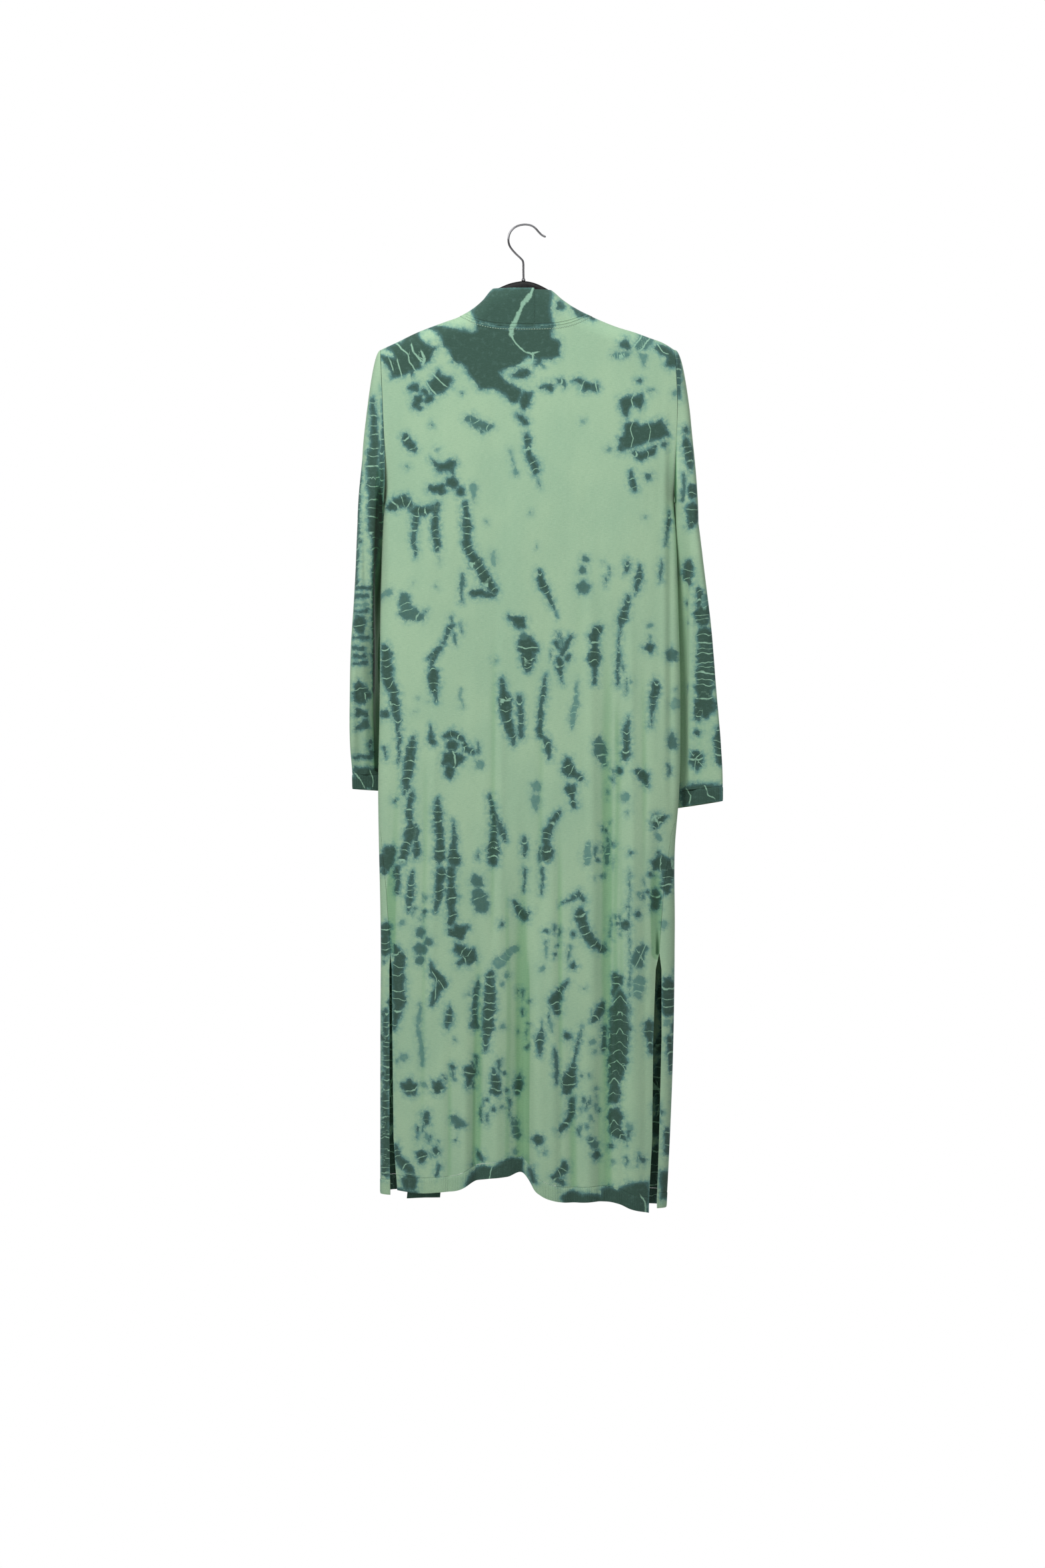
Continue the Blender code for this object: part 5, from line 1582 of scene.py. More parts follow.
def specks(seed, count, u_low, u_high, z_low, z_high):
    """The small feathery marks that lie between the placed stains, upright and in loose groups."""
    random = np.random.RandomState(seed)
    stains = []
    u, z = u_low, z_low
    for n in range(count):
        if n % 4 == 0:
            u, z = random.uniform(u_low, u_high), random.uniform(z_high, z_low)
        at_u, at_z = u + random.uniform(-11, 11), z + random.uniform(-22, 22)
        radius = random.uniform(0.8, 3.2)
        length = random.uniform(2, 13)
        points = [(at_u, at_z, radius), (at_u + random.uniform(-2, 2), at_z - length, radius * 0.5)]
        stains.append(("chain", random.uniform(0.45, 1.0), 0.0, np.array(points)))
    return stains


def both_sides(grid):
    """A grid's values for a shell's points: its outer side first, and then its inner side."""
    return np.concatenate([grid.reshape(-1), grid[::2, ::2].reshape(-1)])


def keep(piece, values):
    """Stores a dict of values on a piece's points."""
    for name, numbers in values.items():
        layer = piece.data.attributes.new(name, "FLOAT", "POINT")
        layer.data.foreach_set("value", numbers.astype(np.float32))


def keep_cloth(piece, u, v):
    """Stores the cloth's own coordinates, in millimetres across and down."""
    vectors = np.stack([u, v, 0 * u], axis=-1).astype(np.float32)
    layer = piece.data.attributes.new("cloth", "FLOAT_VECTOR", "POINT")
    layer.data.foreach_set("vector", vectors.reshape(-1))


def wrapped_u(points, hand):
    """The dye's u of a front or a band: x behind, and x measured on round the side edge in front."""
    x, z = points[..., 0], points[..., 2]
    edge = curve(z, OUTLINE["z"], OUTLINE["left" if hand < 0 else "right"])
    return np.where(points[..., 1] < 0, x, 2 * edge - x)


def crinkled(points, normals, u, rows):
    """A grid moved along its normals by a table of creases."""
    return points - normals * creased(u, points[..., 2], rows)[..., None]


def valleys(points, normals, closed=False):
    """How deep each point of a grid lies in a trough, in millimetres below the mean of its neighbours."""
    reach = VALLEY_REACH
    edge = ((reach, reach), (0, 0), (0, 0))
    padded = np.pad(points, edge, mode="wrap") if closed else np.pad(points, edge, mode="reflect")
    if not closed:
        padded[:reach] = 2 * points[:1] - padded[:reach]
        padded[-reach:] = 2 * points[-1:] - padded[-reach:]
    total = sum(padded[k : k + len(points)] for k in range(2 * reach + 1))
    return np.sum((total / (2 * reach + 1) - points) * normals, axis=-1)


def painted_crease_shade(name, points, normals):
    """Painted shade: how dark each point of a piece is painted along its narrow folds and gaps, on the back
    side only.
    """
    deep = np.zeros(points.shape[:2])
    for line, half, depth in CREASE_SHADE_LINES.get(name, []):
        far, _ = vein_distance(points[..., 0], points[..., 2], line)
        start = eased((line[0][1] - points[..., 2]) / CREASE_SHADE_START)
        deep = np.maximum(deep, depth * start * (1 - np.minimum(far / half, 1.0) ** 2))
    return deep * np.clip(0.6 - 2.5 * normals[..., 1], 0.0, 1.0)


def dressed(piece, points, normals, u, stains, material, closed=False):
    """Stores a shell's dye, its painted shade in troughs and creases and its cloth coordinates, and gives it
    its material.
    """
    values = dye(u, points[..., 2], stains)
    # Painted shade: how deep a point lies in a trough or a narrow crease sets how much its colour is
    # darkened, as shade would darken it; less on the sleeves' tubes.
    trough = valleys(points, normals, closed) * (0.4 if closed else 1.0)
    values["fold_shade"] = np.maximum(trough, painted_crease_shade(piece.name, points, normals))
    keep(piece, {name: both_sides(grid) for name, grid in values.items()})
    keep_cloth(piece, both_sides(u), both_sides(points[..., 2]))
    piece.data.materials.append(material)
    return piece


def ribbed(points, normals, closed=False):
    """A rib strip's outer points: rounded ribs along its columns, flat at the seam and at the lower edge."""
    line = points[:, points.shape[1] // 2]
    following = np.roll(line, -1, axis=0)
    steps = np.linalg.norm(following - line, axis=-1)
    at = np.concatenate([[0.0], np.cumsum(steps)[:-1]])
    total = at[-1] + (steps[-1] if closed else 0.0)
    ribs = max(1, round(total / RIB_PITCH))
    wave = 0.5 - 0.5 * np.cos(2 * math.pi * at / total * ribs)
    down = np.linspace(0.0, 1.0, points.shape[1])
    ends = np.minimum(eased(down / 0.08), mixed(0.35, 1.0, eased((1 - down) / 0.07)))
    relief = RIB_RELIEF * np.sqrt(wave)[:, None] * ends[None, :]
    return points + normals * (relief - RIB_SINK)[..., None]


def rib_piece(name, replaced, columns, point, stains, material, *hand):
    """A hem's ribbed band on the same surface as its solid. A front's or a band's has a hand."""
    rows = np.linspace(0.0, 1.0, RIB_ROWS)
    points = point(*np.meshgrid(columns, rows, indexing="ij"), *hand)
    normals = facing_out(points, grid_normals(points))
    u = wrapped_u(points, *hand) if hand else points[..., 0]
    piece = shell(name, ribbed(points, normals), normals, OUTER, RIB_INNER)
    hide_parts(replaced)
    return dressed(piece, points, normals, u, stains, material)


def build_back(materials, stains):
    """The back panel and its rib."""
    width = 2 * TYPICAL_HALF_WIDTH
    columns = np.linspace(-1.0, 1.0, 2 * round(width / ACROSS_STEP / 2) + 1)
    grid = np.meshgrid(columns, fine_rows(DOWN_STEP), indexing="ij")
    points = back_point(*grid)
    normals = facing_out(points, grid_normals(points))
    piece = shell("back_panel", points, normals, OUTER, INNER)
    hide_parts("back")
    dressed(piece, points, normals, points[..., 0], stains, materials["jersey"])
    fine = np.linspace(-1.0, 1.0, 2 * round(width / RIB_PITCH * RIB_POINTS / 2) + 1)
    rib = rib_piece("back_hem_rib", "back_rib", fine, back_rib_point, stains, materials["rib"])
    return [piece, rib]


def build_front(hand, materials, stains):
    """A front, which wraps round the side edge, and its rib."""
    side = "left" if hand < 0 else "right"
    columns = np.linspace(0.0, 1.0, 2 * round(FRONT_WIDTH / ACROSS_STEP / 2) + 1)
    grid = np.meshgrid(columns, fine_rows(DOWN_STEP), indexing="ij")
    points = front_point(*grid, hand)
    normals = facing_out(points, grid_normals(points))

    piece = shell(f"front_{side}_panel", points, normals, OUTER, INNER)
    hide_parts(f"front_{side}")
    dressed(piece, points, normals, wrapped_u(points, hand), stains, materials["jersey"])
    fine = np.linspace(0.0, 1.0, 2 * round(FRONT_RIB_WIDTH / RIB_PITCH * RIB_POINTS / 2) + 1)
    rib = rib_piece(
        f"front_{side}_hem_rib",
        f"front_{side}_rib",
        fine,
        front_rib_point,
        stains,
        materials["rib"],
        hand,
    )
    return [piece, rib]


def build_band(hand, materials, stains):
    """Half of the neck and front band, and its ribbed end."""
    side = "left" if hand < 0 else "right"
    widths = np.linspace(0.0, 1.0, BAND_COLUMNS)
    ways = [-1.0]
    for k in range(len(BAND_BACK_ROWS) - 1):
        start, end = BAND_BACK_ROWS[k], BAND_BACK_ROWS[k + 1]
        parts = max(2, round((start - end) * BAND_BACK_LENGTH / ACROSS_STEP))
        ways += [-mixed(start, end, (n + 1) / parts) for n in range(parts)]
    ways += [ARM_TOP]
    ways = np.concatenate([np.array(ways), fine_rows(DOWN_STEP)])
    if len(ways) % 2 == 0:
        ways = np.delete(ways, 2)
    points = band_point(*np.meshgrid(widths, ways, indexing="ij"), hand)
    normals = facing_out(points, grid_normals(points))

    piece = shell(f"neck_band_{side}", points, normals, BAND_OUTER, BAND_INNER)
    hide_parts(f"band_{side}")
    dressed(piece, points, normals, wrapped_u(points, hand), stains, materials["band"])
    fine = np.linspace(0.0, 1.0, 2 * round(BAND_RIB_WIDTH / RIB_PITCH * RIB_POINTS / 2) + 1)
    rib = rib_piece(
        f"neck_band_{side}_rib",
        f"band_{side}_rib",
        fine,
        band_rib_point,
        stains,
        materials["rib"],
        hand,
    )
    return [piece, rib]


def sleeve_u(points, normals, hand):
    """x on the side of a sleeve that shows from behind, and x measured on round its outer edge."""
    x = points[..., 0]
    outer = (hand * x).max(axis=0, keepdims=True) * hand
    return np.where(normals[..., 1] < 0, x, 2 * outer - x)


def round_sleeve(points, normals, hand):
    """The way round a sleeve from the middle of its back side, over its outer edge, as x goes on there."""
    count = len(points)
    row = points.shape[1] // 2
    x = points[:, row, 0]
    behind = normals[:, row, 1] < 0
    middle = (x.min() + x.max()) / 2
    first = int(np.argmin(np.abs(x - middle) + 1000 * ~behind))
    forward = hand * (x[(first + 1) % count] - x[first]) > 0
    order = (first + np.arange(count) * (1 if forward else -1)) % count
    ordered = points[order]
    moves = np.roll(ordered, -1, axis=0) - ordered
    turned = eased((0.6 - np.abs(normals[order][..., 1])) / 0.3)
    steps = mixed(np.abs(moves[..., 0]), np.linalg.norm(moves, axis=-1), turned)
    far = np.concatenate([np.zeros((1, steps.shape[1])), np.cumsum(steps, axis=0)[:-1]])
    late = np.arange(count) > count // 2
    far = far - np.where((late & behind[order])[:, None], steps.sum(axis=0), 0.0)
    u = np.empty(points.shape[:2])
    u[order] = ordered[:1, :, 0] + hand * far
    return u


def swung(points, hand):
    """A sleeve whose inner part hangs further back, up against the body's side edge."""
    inner = (hand * points[..., 0]).min(axis=0, keepdims=True)
    outer = (hand * points[..., 0]).max(axis=0, keepdims=True)
    near = eased((outer - hand * points[..., 0]) / np.maximum(outer - inner, 1.0))
    low = eased((SLEEVE_SWING_FROM - points[..., 2]) / SWING_GROWTH)
    moved = points.copy()
    moved[..., 1] -= SLEEVE_SWING * near * low
    return moved


def sleeve_outward(points, normals):
    """A tube's normals, pointing away from its own middle."""
    away = points[:, -1] - points[:, -1].mean(axis=0)
    return normals if np.sum(normals[:, -1] * away) > 0 else -normals


def build_sleeve(hand, materials, stains):
    """A sleeve with its creases, and its ribbed cuff."""
    side = "left" if hand < 0 else "right"
    points = sleeve_grid(hand)
    normals = sleeve_outward(points, grid_normals(points, closed=True))
    u = sleeve_u(points, normals, hand)
    points = crinkled(points, normals, u, SLEEVE_CREASES[hand])
    points = swung(points, hand)
    points = points + normals * softness(u, points[..., 2], 17)[..., None] * SLEEVE_SOFTNESS
    normals = sleeve_outward(points, grid_normals(points, closed=True))
    piece = shell(f"sleeve_{side}_panel", points, normals, OUTER, INNER, closed=True)
    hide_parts(f"sleeve_{side}")
    u = round_sleeve(points, normals, hand)
    dressed(piece, points, normals, u, stains, materials["jersey"], True)
    top = SLEEVE_ENDS[hand] - SEAM_GAP
    count = 2 * round(CUFF_LENGTH / RIB_PITCH * RIB_POINTS / 2)
    angles = np.arange(count) * 2 * math.pi / count
    heights = np.linspace(top, top - CUFF_HEIGHT, RIB_ROWS)
    ring = sleeve_ring(angles[:, None], heights[None, :], hand)
    ring = swung(ring, hand)
    facing = sleeve_outward(ring, grid_normals(ring, closed=True))
    u = round_sleeve(ring, facing, hand)
    raised = ribbed(ring, facing, True)
    cuff = shell(f"cuff_{side}_rib", raised, facing, OUTER, RIB_INNER, True)
    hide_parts(f"cuff_{side}")
    dressed(cuff, ring, facing, u, stains, materials["rib"], True)
    return [piece, cuff]


def tube(points, radius, sides):
    """A round tube along a line of points, closed at its ends: its vertices and faces."""
    points = np.asarray(points, float)
    along = np.gradient(points, axis=0)
    along /= np.linalg.norm(along, axis=-1, keepdims=True)
    up = np.array([0.0, 1.0, 0.0])
    first = np.cross(along, up)
    first /= np.maximum(np.linalg.norm(first, axis=-1, keepdims=True), 1e-9)
    second = np.cross(along, first)
    angles = np.arange(sides) * 2 * math.pi / sides
    radii = np.broadcast_to(radius, (len(points),))
    rings = (
        points[:, None]
        + radii[:, None, None] * np.cos(angles)[None, :, None] * first[:, None]
        + radii[:, None, None] * np.sin(angles)[None, :, None] * second[:, None]
    )
    faces = []
    for i in range(len(points) - 1):
        for k in range(sides):
            m = (k + 1) % sides
            faces.append((i * sides + k, i * sides + m, (i + 1) * sides + m, (i + 1) * sides + k))
    faces.append(tuple(range(sides)))
    faces.append(tuple((len(points) - 1) * sides + sides - 1 - k for k in range(sides)))
    return rings.reshape(-1, 3), faces


def build_hanger(material):
    """Smooth upright ovals along the arch, close under the top line of the cloth."""
    tip = np.linspace(-HANGER_TIP, 7 - HANGER_TIP, 6)
    stations = np.concatenate([tip, np.linspace(9 - HANGER_TIP, HANGER_TIP - 9, 196), -tip[::-1]])
    angles = np.arange(HANGER_SIDES) * 2 * math.pi / HANGER_SIDES
    rings = []
    for x in stations:
        oval = [np.interp(x, HANGER["x"], HANGER[name]) for name in ("below", "height", "thick")]
        below, tall, thick = oval
        hump = HUMP_RISE * math.exp(-(((abs(x - HANGER_MIDDLE) - HUMP_AT) / HUMP_REACH) ** 2))
        middle = float(ridge(x)) + hump - below - tall / 2
        side = np.sign(np.cos(angles)) * np.abs(np.cos(angles)) ** HANGER_SQUARENESS
        z = middle + np.sin(angles) * tall / 2
        rings.append(np.stack([x + 0 * angles, side * thick / 2, z], axis=-1))
    vertices = np.array(rings).reshape(-1, 3)
    faces = [tuple(range(HANGER_SIDES)), tuple(len(vertices) - 1 - k for k in range(HANGER_SIDES))]
    for i in range(len(stations) - 1):
        for k in range(HANGER_SIDES):
            m = (k + 1) % HANGER_SIDES
            a, b = i * HANGER_SIDES, (i + 1) * HANGER_SIDES
            faces.append((a + k, a + m, b + m, b + k))
    piece = new_piece("hanger_arch", vertices, faces)
    piece.data.materials.append(material)
    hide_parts("hanger")


def build_hook(material):
    """The wire hook, its rounded free end and the small turned collar at its foot."""
    count = len(HOOK_ROUTE["x"])
    at = np.linspace(0.0, count - 1, HOOK_STATIONS)
    places = np.arange(count, dtype=float)
    x = curve(at, places, HOOK_ROUTE["x"])
    z = curve(at, places, HOOK_ROUTE["z"])
    radius = np.full(len(at), WIRE_RADIUS)
    radius[-len(HOOK_END_SHARES) :] *= np.array(HOOK_END_SHARES)
    vertices, faces = tube(np.stack([x, 0 * x, z], axis=-1), radius, HOOK_SIDES)
    piece = new_piece("hook_wire_bend", vertices, faces)
    piece.data.materials.append(material)
    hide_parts("hook")
    level = 0 * COLLAR["z"]
    line = np.stack([level + HOOK_ROUTE["x"][0], level, COLLAR["z"]], axis=-1)
    vertices, faces = tube(line, COLLAR["radius"], COLLAR_SIDES)
    collar = new_piece("hook_collar_ring", vertices, faces)
    collar.data.materials.append(material)
    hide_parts("hook_collar")


def on_body(x, z, side, out):
    """A point just outside the body's cloth."""
    middle, half = outline(z)
    across = (x - middle) / half
    at = body_at(across, z, side)
    right = body_at(across + 1e-4, z, side) - at
    down = body_at(across, z - 0.05, side) - at
    normal = np.cross(down, right)
    normal /= np.maximum(np.linalg.norm(normal, axis=-1, keepdims=True), 1e-9)
    normal *= np.where(normal[..., 1:2] * side < 0, -1.0, 1.0)
    return at + out * normal


def stitch_row(name, x, z, material):
    """A row of short threads along a line on the back of the neck."""
    line = on_body(x, z, BACK, STITCH_OUT)
    far = np.concatenate([[0.0], np.cumsum(np.linalg.norm(np.diff(line, axis=0), axis=-1))])
    vertices, faces = [], []
    at = 0.0
    while at + STITCH_LENGTH < far[-1]:
        places = at + STITCH_LENGTH * np.linspace(0.0, 1.0, len(STITCH_SWELL))
        points = np.stack([np.interp(places, far, line[:, k]) for k in range(3)], axis=-1)
        points[:, 1] += STITCH_RADIUS * np.array(STITCH_DIP)
        ring, quads = tube(points, STITCH_RADIUS * np.array(STITCH_SWELL), STITCH_SIDES)
        shift = sum(len(v) for v in vertices)
        vertices.append(ring)
        faces += [tuple(n + shift for n in quad) for quad in quads]
        at += STITCH_LENGTH + STITCH_GAP
    piece = new_piece(name, np.concatenate(vertices), faces)
    piece.data.materials.append(material)


def seam_ridge(name, x, z, radius, out, material, slot, stains):
    """A low raised line in the cloth beside a seam."""
    vertices, faces = tube(on_body(x, z, BACK, out), radius, RIDGE_SIDES)
    piece = new_piece(name, vertices, faces)
    keep(piece, dye(vertices[:, 0], vertices[:, 2], stains))
    keep_cloth(piece, vertices[:, 0], vertices[:, 2])
    piece.data.materials.append(material)


def build_neck_seams(materials, stains):
    """The pale chain stitch along the neckline, two low ridges above it, and the centre back seam."""
    x = np.linspace(NECK_LEFT + 2, NECK_RIGHT - 2, 220)
    stitch_row("neck_chain_stitch", x, neckline(x) - 0.2, materials["thread"])
    inner = x[(x > NECK_LEFT + 8) & (x < NECK_RIGHT - 6)]
    cloth = (materials["band"], "neck_band", stains)
    for n, above in enumerate(RIDGES_ABOVE):
        z = np.minimum(neckline(inner) + above, ridge(inner) - 1.5)
        seam_ridge(f"neck_ridge_{n + 1}", inner, z, RIDGE_RADIUS, RIDGE_OUT, *cloth)
    z = np.linspace(CENTRE_SEAM_TOP, float(neckline(np.array(BAND_SEAM_X))) + 1.0, 60)
    sway = BAND_SEAM_X + 0.5 * np.sin(z * 0.9) * eased((-z - 104) / 12)
    seam_ridge("neck_centre_seam", sway, z, CENTRE_SEAM_RADIUS, CENTRE_SEAM_OUT, *cloth)


# The materials


def linear(red, green, blue):
    """A colour given as it looks on a screen, from 0 to 255, as the shader wants it."""
    parts = [c / 255 for c in (red, green, blue)]
    parts = [c / 12.92 if c <= 0.04045 else ((c + 0.055) / 1.055) ** 2.4 for c in parts]
    return (*parts, 1.0)


class Graph:
    """A material's node tree, with short names for the nodes that are used most."""

    def __init__(self, name):
        self.material = bpy.data.materials.new(name)
        self.material.use_nodes = True
        self.tree = self.material.node_tree
        self.tree.nodes.clear()
        self.shader = self.tree.nodes.new("ShaderNodeBsdfPrincipled")
        output = self.tree.nodes.new("ShaderNodeOutputMaterial")
        self.tree.links.new(self.shader.outputs["BSDF"], output.inputs["Surface"])

    def put(self, socket, value):
        """Links a socket to another one, or gives it a value."""
        if isinstance(value, bpy.types.NodeSocket):
            self.tree.links.new(value, socket)
        else:
            socket.default_value = value

    def math(self, operation, *values):
        """One sum on numbers."""
        node = self.tree.nodes.new("ShaderNodeMath")
        node.operation = operation
        for socket, value in zip(node.inputs, values):
            self.put(socket, value)
        return node.outputs[0]

    def between(self, value, low, high, start=0.0, end=1.0):
        """A soft step from start to end while a value goes from low to high."""
        node = self.tree.nodes.new("ShaderNodeMapRange")
        node.interpolation_type = "SMOOTHSTEP"
        for name, number in (("Value", value), ("From Min", low), ("From Max", high)):
            self.put(node.inputs[name], number)
        self.put(node.inputs["To Min"], start)
        self.put(node.inputs["To Max"], end)
        return node.outputs["Result"]

    def blend(self, share, first, second):
        """Two colours mixed."""
        node = self.tree.nodes.new("ShaderNodeMix")
        node.data_type = "RGBA"
        self.put(node.inputs[0], share)
        self.put(node.inputs[6], first)
        self.put(node.inputs[7], second)
        return node.outputs[2]

    def tinted(self, share, first, second):
        """A colour multiplied by another one."""
        result = self.blend(share, first, second)
        result.node.blend_type = "MULTIPLY"
        return result

    def attribute(self, name, vector=False):
        """A value that the mesh carries."""
        node = self.tree.nodes.new("ShaderNodeAttribute")
        node.attribute_name = name
        return node.outputs["Vector" if vector else "Fac"]

    def scaled(self, vector, across, down, shift=0.0):
        """Coordinates divided into lumps of a size across and down, in the vector's own unit."""
        node = self.tree.nodes.new("ShaderNodeMapping")
        self.put(node.inputs["Vector"], vector)
        node.inputs["Scale"].default_value = (1 / across, 1 / down, 1 / across)
        node.inputs["Location"].default_value = (shift, 2 * shift, shift)
        return node.outputs["Vector"]

    def noise(self, vector, detail=2.0, rough=0.5):
        """Noise from 0 to 1, whose lumps are one unit apart."""
        node = self.tree.nodes.new("ShaderNodeTexNoise")
        self.put(node.inputs["Vector"], vector)
        node.inputs["Scale"].default_value = 1.0
        node.inputs["Detail"].default_value = detail
        node.inputs["Roughness"].default_value = rough
        return node.outputs["Fac"]

    def object_space(self):
        """The piece's own coordinates, in metres."""
        return self.tree.nodes.new("ShaderNodeTexCoord").outputs["Object"]

    def bump(self, height, distance, strength=1.0):
        """A bump on the shader's normal, with its height in metres."""
        node = self.tree.nodes.new("ShaderNodeBump")
        node.inputs["Distance"].default_value = distance
        node.inputs["Strength"].default_value = strength
        self.put(node.inputs["Height"], height)
        self.put(self.shader.inputs["Normal"], node.outputs["Normal"])

    def set(self, name, value):
        """One of the shader's inputs."""
        self.put(self.shader.inputs[name], value)


def signed_noise(graph, vector, reach, detail=2.0, rough=0.5):
    """Noise spread evenly about nothing, with a reach in millimetres."""
    value = graph.noise(vector, detail, rough)
    return graph.math("MULTIPLY", graph.math("SUBTRACT", value, 0.5), 2.4 * reach)


def dyed_colour(graph):
    """The cloth's colour from its stains: a pale ground, a teal halo, dark cores, thin pale rungs across
    the long ones and pale lines where the cloth was tied, and painted shade that darkens it in folds and
    gaps."""
    cloth = graph.attribute("cloth", vector=True)
    feather = signed_noise(graph, graph.scaled(cloth, 5.0, 6.5), 2.9, 6.0, 0.74)
    tufts = graph.noise(graph.scaled(cloth, 2.2, 2.6, 5.0), 4.0, 0.7)
    tufts = graph.math("MULTIPLY", graph.between(tufts, 0.5, 0.78), 3.0)
    depth = graph.math("ADD", graph.math("ADD", graph.attribute("depth"), feather), tufts)
    tone = graph.attribute("tone")
    mottle = graph.noise(graph.scaled(cloth, 7.0, 7.0, 3.0), 4.0, 0.65)
    broad = graph.noise(graph.scaled(cloth, 70.0, 110.0, 1.0), 2.0, 0.5)
    heather = graph.noise(graph.scaled(cloth, 6.5, 0.9, 8.0), 3.0, 0.7)
    grain = graph.noise(graph.scaled(cloth, 1.3, 0.8, 2.0), 2.0, 0.7)

    ground = graph.blend(graph.between(broad, 0.35, 0.65), linear(*GROUND_A), linear(*GROUND_B))
    ground = graph.blend(graph.between(heather, 0.50, 0.80, 0.0, 0.55), ground, linear(*GROUND_STREAK))
    ground = graph.blend(graph.between(heather, 0.50, 0.22, 0.0, 0.55), ground, linear(*GROUND_PALE))
    ground = graph.blend(graph.between(grain, 0.45, 0.8, 0.0, 0.35), ground, linear(*GROUND_STREAK))

    patchy = graph.between(mottle, 0.35, 0.65, 0.05, 0.75)
    wash = graph.math("MULTIPLY", graph.between(depth, -12.0, -1.0), patchy)
    colour = graph.blend(graph.math("MULTIPLY", wash, tone), ground, linear(*WASH))
    halo = graph.between(depth, -4.2, 0.8)
    patchy = graph.between(mottle, 0.3, 0.6, 0.35, 0.95)
    halo = graph.math("MULTIPLY", halo, graph.math("MULTIPLY", tone, patchy))
    colour = graph.blend(halo, colour, linear(*HALO))
    core = graph.between(depth, -0.3, 1.1)
    inside = graph.between(depth, 0.6, 5.0)
    dark = graph.blend(inside, linear(*DARK_EDGE), linear(*DARK_CORE))
    dark = graph.blend(graph.between(mottle, 0.5, 0.75, 0.0, 0.55), dark, linear(*DARK_FLECK))
    dark = graph.blend(graph.between(heather, 0.48, 0.75, 0.0, 0.4), dark, linear(*DARK_FLECK))
    dark = graph.blend(graph.between(grain, 0.45, 0.8, 0.0, 0.3), dark, linear(*DARK_FLECK))
    dark = graph.blend(graph.between(tone, 0.35, 0.95), linear(*FAINT), dark)
    strength = graph.math("MULTIPLY", core, graph.between(tone, 0.0, 1.0, 0.35, 1.0))
    colour = graph.blend(strength, colour, dark)

    spacing = graph.attribute("spacing")
    place = graph.math("FRACT", graph.attribute("rung"))
    nearest = graph.math("MINIMUM", place, graph.math("SUBTRACT", 1.0, place))
    from_rung = graph.math("MULTIPLY", nearest, spacing)
    wobble = signed_noise(graph, graph.scaled(cloth, 2.2, 3.0, 12.0), 0.35)
    from_rung = graph.math("ADD", from_rung, wobble)
    fading = graph.noise(graph.scaled(cloth, 9.0, 9.0, 9.0), 1.0)
    rung = graph.between(from_rung, 1.0, 0.3)
    rung = graph.math("MULTIPLY", rung, graph.math("GREATER_THAN", spacing, 1.0))
    rung = graph.math("MULTIPLY", rung, graph.between(fading, 0.30, 0.52, 0.3, 0.95))
    rung = graph.math("MULTIPLY", rung, graph.between(depth, -1.0, 2.0))
    vein = graph.math("ABSOLUTE", graph.attribute("vein"))
    vein = graph.math("ADD", vein, graph.math("MULTIPLY", feather, 0.12))
    vein = graph.between(graph.math("ADD", vein, wobble), 1.25, 0.55)
    vein = graph.math("MULTIPLY", vein, graph.attribute("line"))
    vein = graph.math("MULTIPLY", vein, graph.between(fading, 0.26, 0.42, 0.45, 0.9))
    pale_lines = graph.math("MAXIMUM", rung, vein)
    colour = graph.blend(pale_lines, colour, linear(*PALE_LINE))
    # Painted shade: deep in folds the colour is multiplied darker and greener.
    fold_shade = graph.between(graph.attribute("fold_shade"), 0.15, 2.4)
    colour = graph.tinted(fold_shade, colour, FOLD_SHADE_TINT)
    # Painted shade: in narrow gaps the colour is multiplied nearly black.
    gap = graph.between(graph.attribute("fold_shade"), 4.5, 9.5)
    return graph.tinted(gap, colour, GAP_SHADE_TINT), cloth


def knit_surface(graph, cloth, coarse):
    """Fine knit relief and a matt, slightly uneven surface."""
    stitches = graph.noise(graph.scaled(cloth, 0.9, 1.3, 4.0), 2.0, 0.6)
    lumps = graph.noise(graph.scaled(cloth, 9.0, 26.0, 2.0), 2.0, 0.5)
    stitches_high = graph.math("MULTIPLY", stitches, 0.35 * coarse)
    height = graph.math("ADD", stitches_high, graph.math("MULTIPLY", lumps, 0.5))
    graph.bump(height, 0.0009)
    graph.set("Roughness", graph.between(stitches, 0.3, 0.7, 0.9, 1.0))
    graph.set("Sheen Weight", 0.12)
    graph.set("Specular IOR Level", 0.2)


def tie_dyed_jersey():
    """The jersey of the back, the fronts and the sleeves."""
    graph = Graph("tie-dyed jersey")
    colour, cloth = dyed_colour(graph)
    graph.set("Base Color", colour)
    knit_surface(graph, cloth, 1.0)
    return graph.material


def dyed_rib(name, coarse):
    """Ribbed knit with the same dye, a little darker than the jersey."""
    graph = Graph(name)
    colour, cloth = dyed_colour(graph)
    speck = graph.noise(graph.scaled(cloth, 0.8, 1.6, 6.0), 2.0, 0.6)
    colour = graph.blend(graph.between(speck, 0.45, 0.75, 0.0, 0.22), colour, linear(*DARK_EDGE))
    graph.set("Base Color", colour)
    knit_surface(graph, cloth, coarse)
    return graph.material


def black_plastic():
    """The hanger's moulded plastic: black, half gloss, with faint marks of use."""
    graph = Graph("black plastic")
    place = graph.object_space()
    marks = graph.noise(graph.scaled(place, 0.006, 0.006), 4.0, 0.6)
    graph.set("Base Color", graph.blend(graph.between(marks, 0.4, 0.8), PLASTIC_DARK, PLASTIC_PALE))
    graph.set("Roughness", graph.between(marks, 0.3, 0.7, 0.30, 0.46))
    graph.set("Specular IOR Level", 0.22)
    graph.bump(graph.noise(graph.scaled(place, 0.002, 0.002), 2.0), 0.00005)
    return graph.material


def chrome_wire():
    """The hook's bright wire."""
    graph = Graph("chrome wire")
    place = graph.object_space()
    marks = graph.noise(graph.scaled(place, 0.003, 0.003), 3.0, 0.6)
    graph.set("Base Color", graph.blend(marks, WIRE_DARK, WIRE_PALE))
    graph.set("Metallic", 1.0)
    graph.set("Roughness", graph.between(marks, 0.3, 0.7, 0.10, 0.2))
    return graph.material


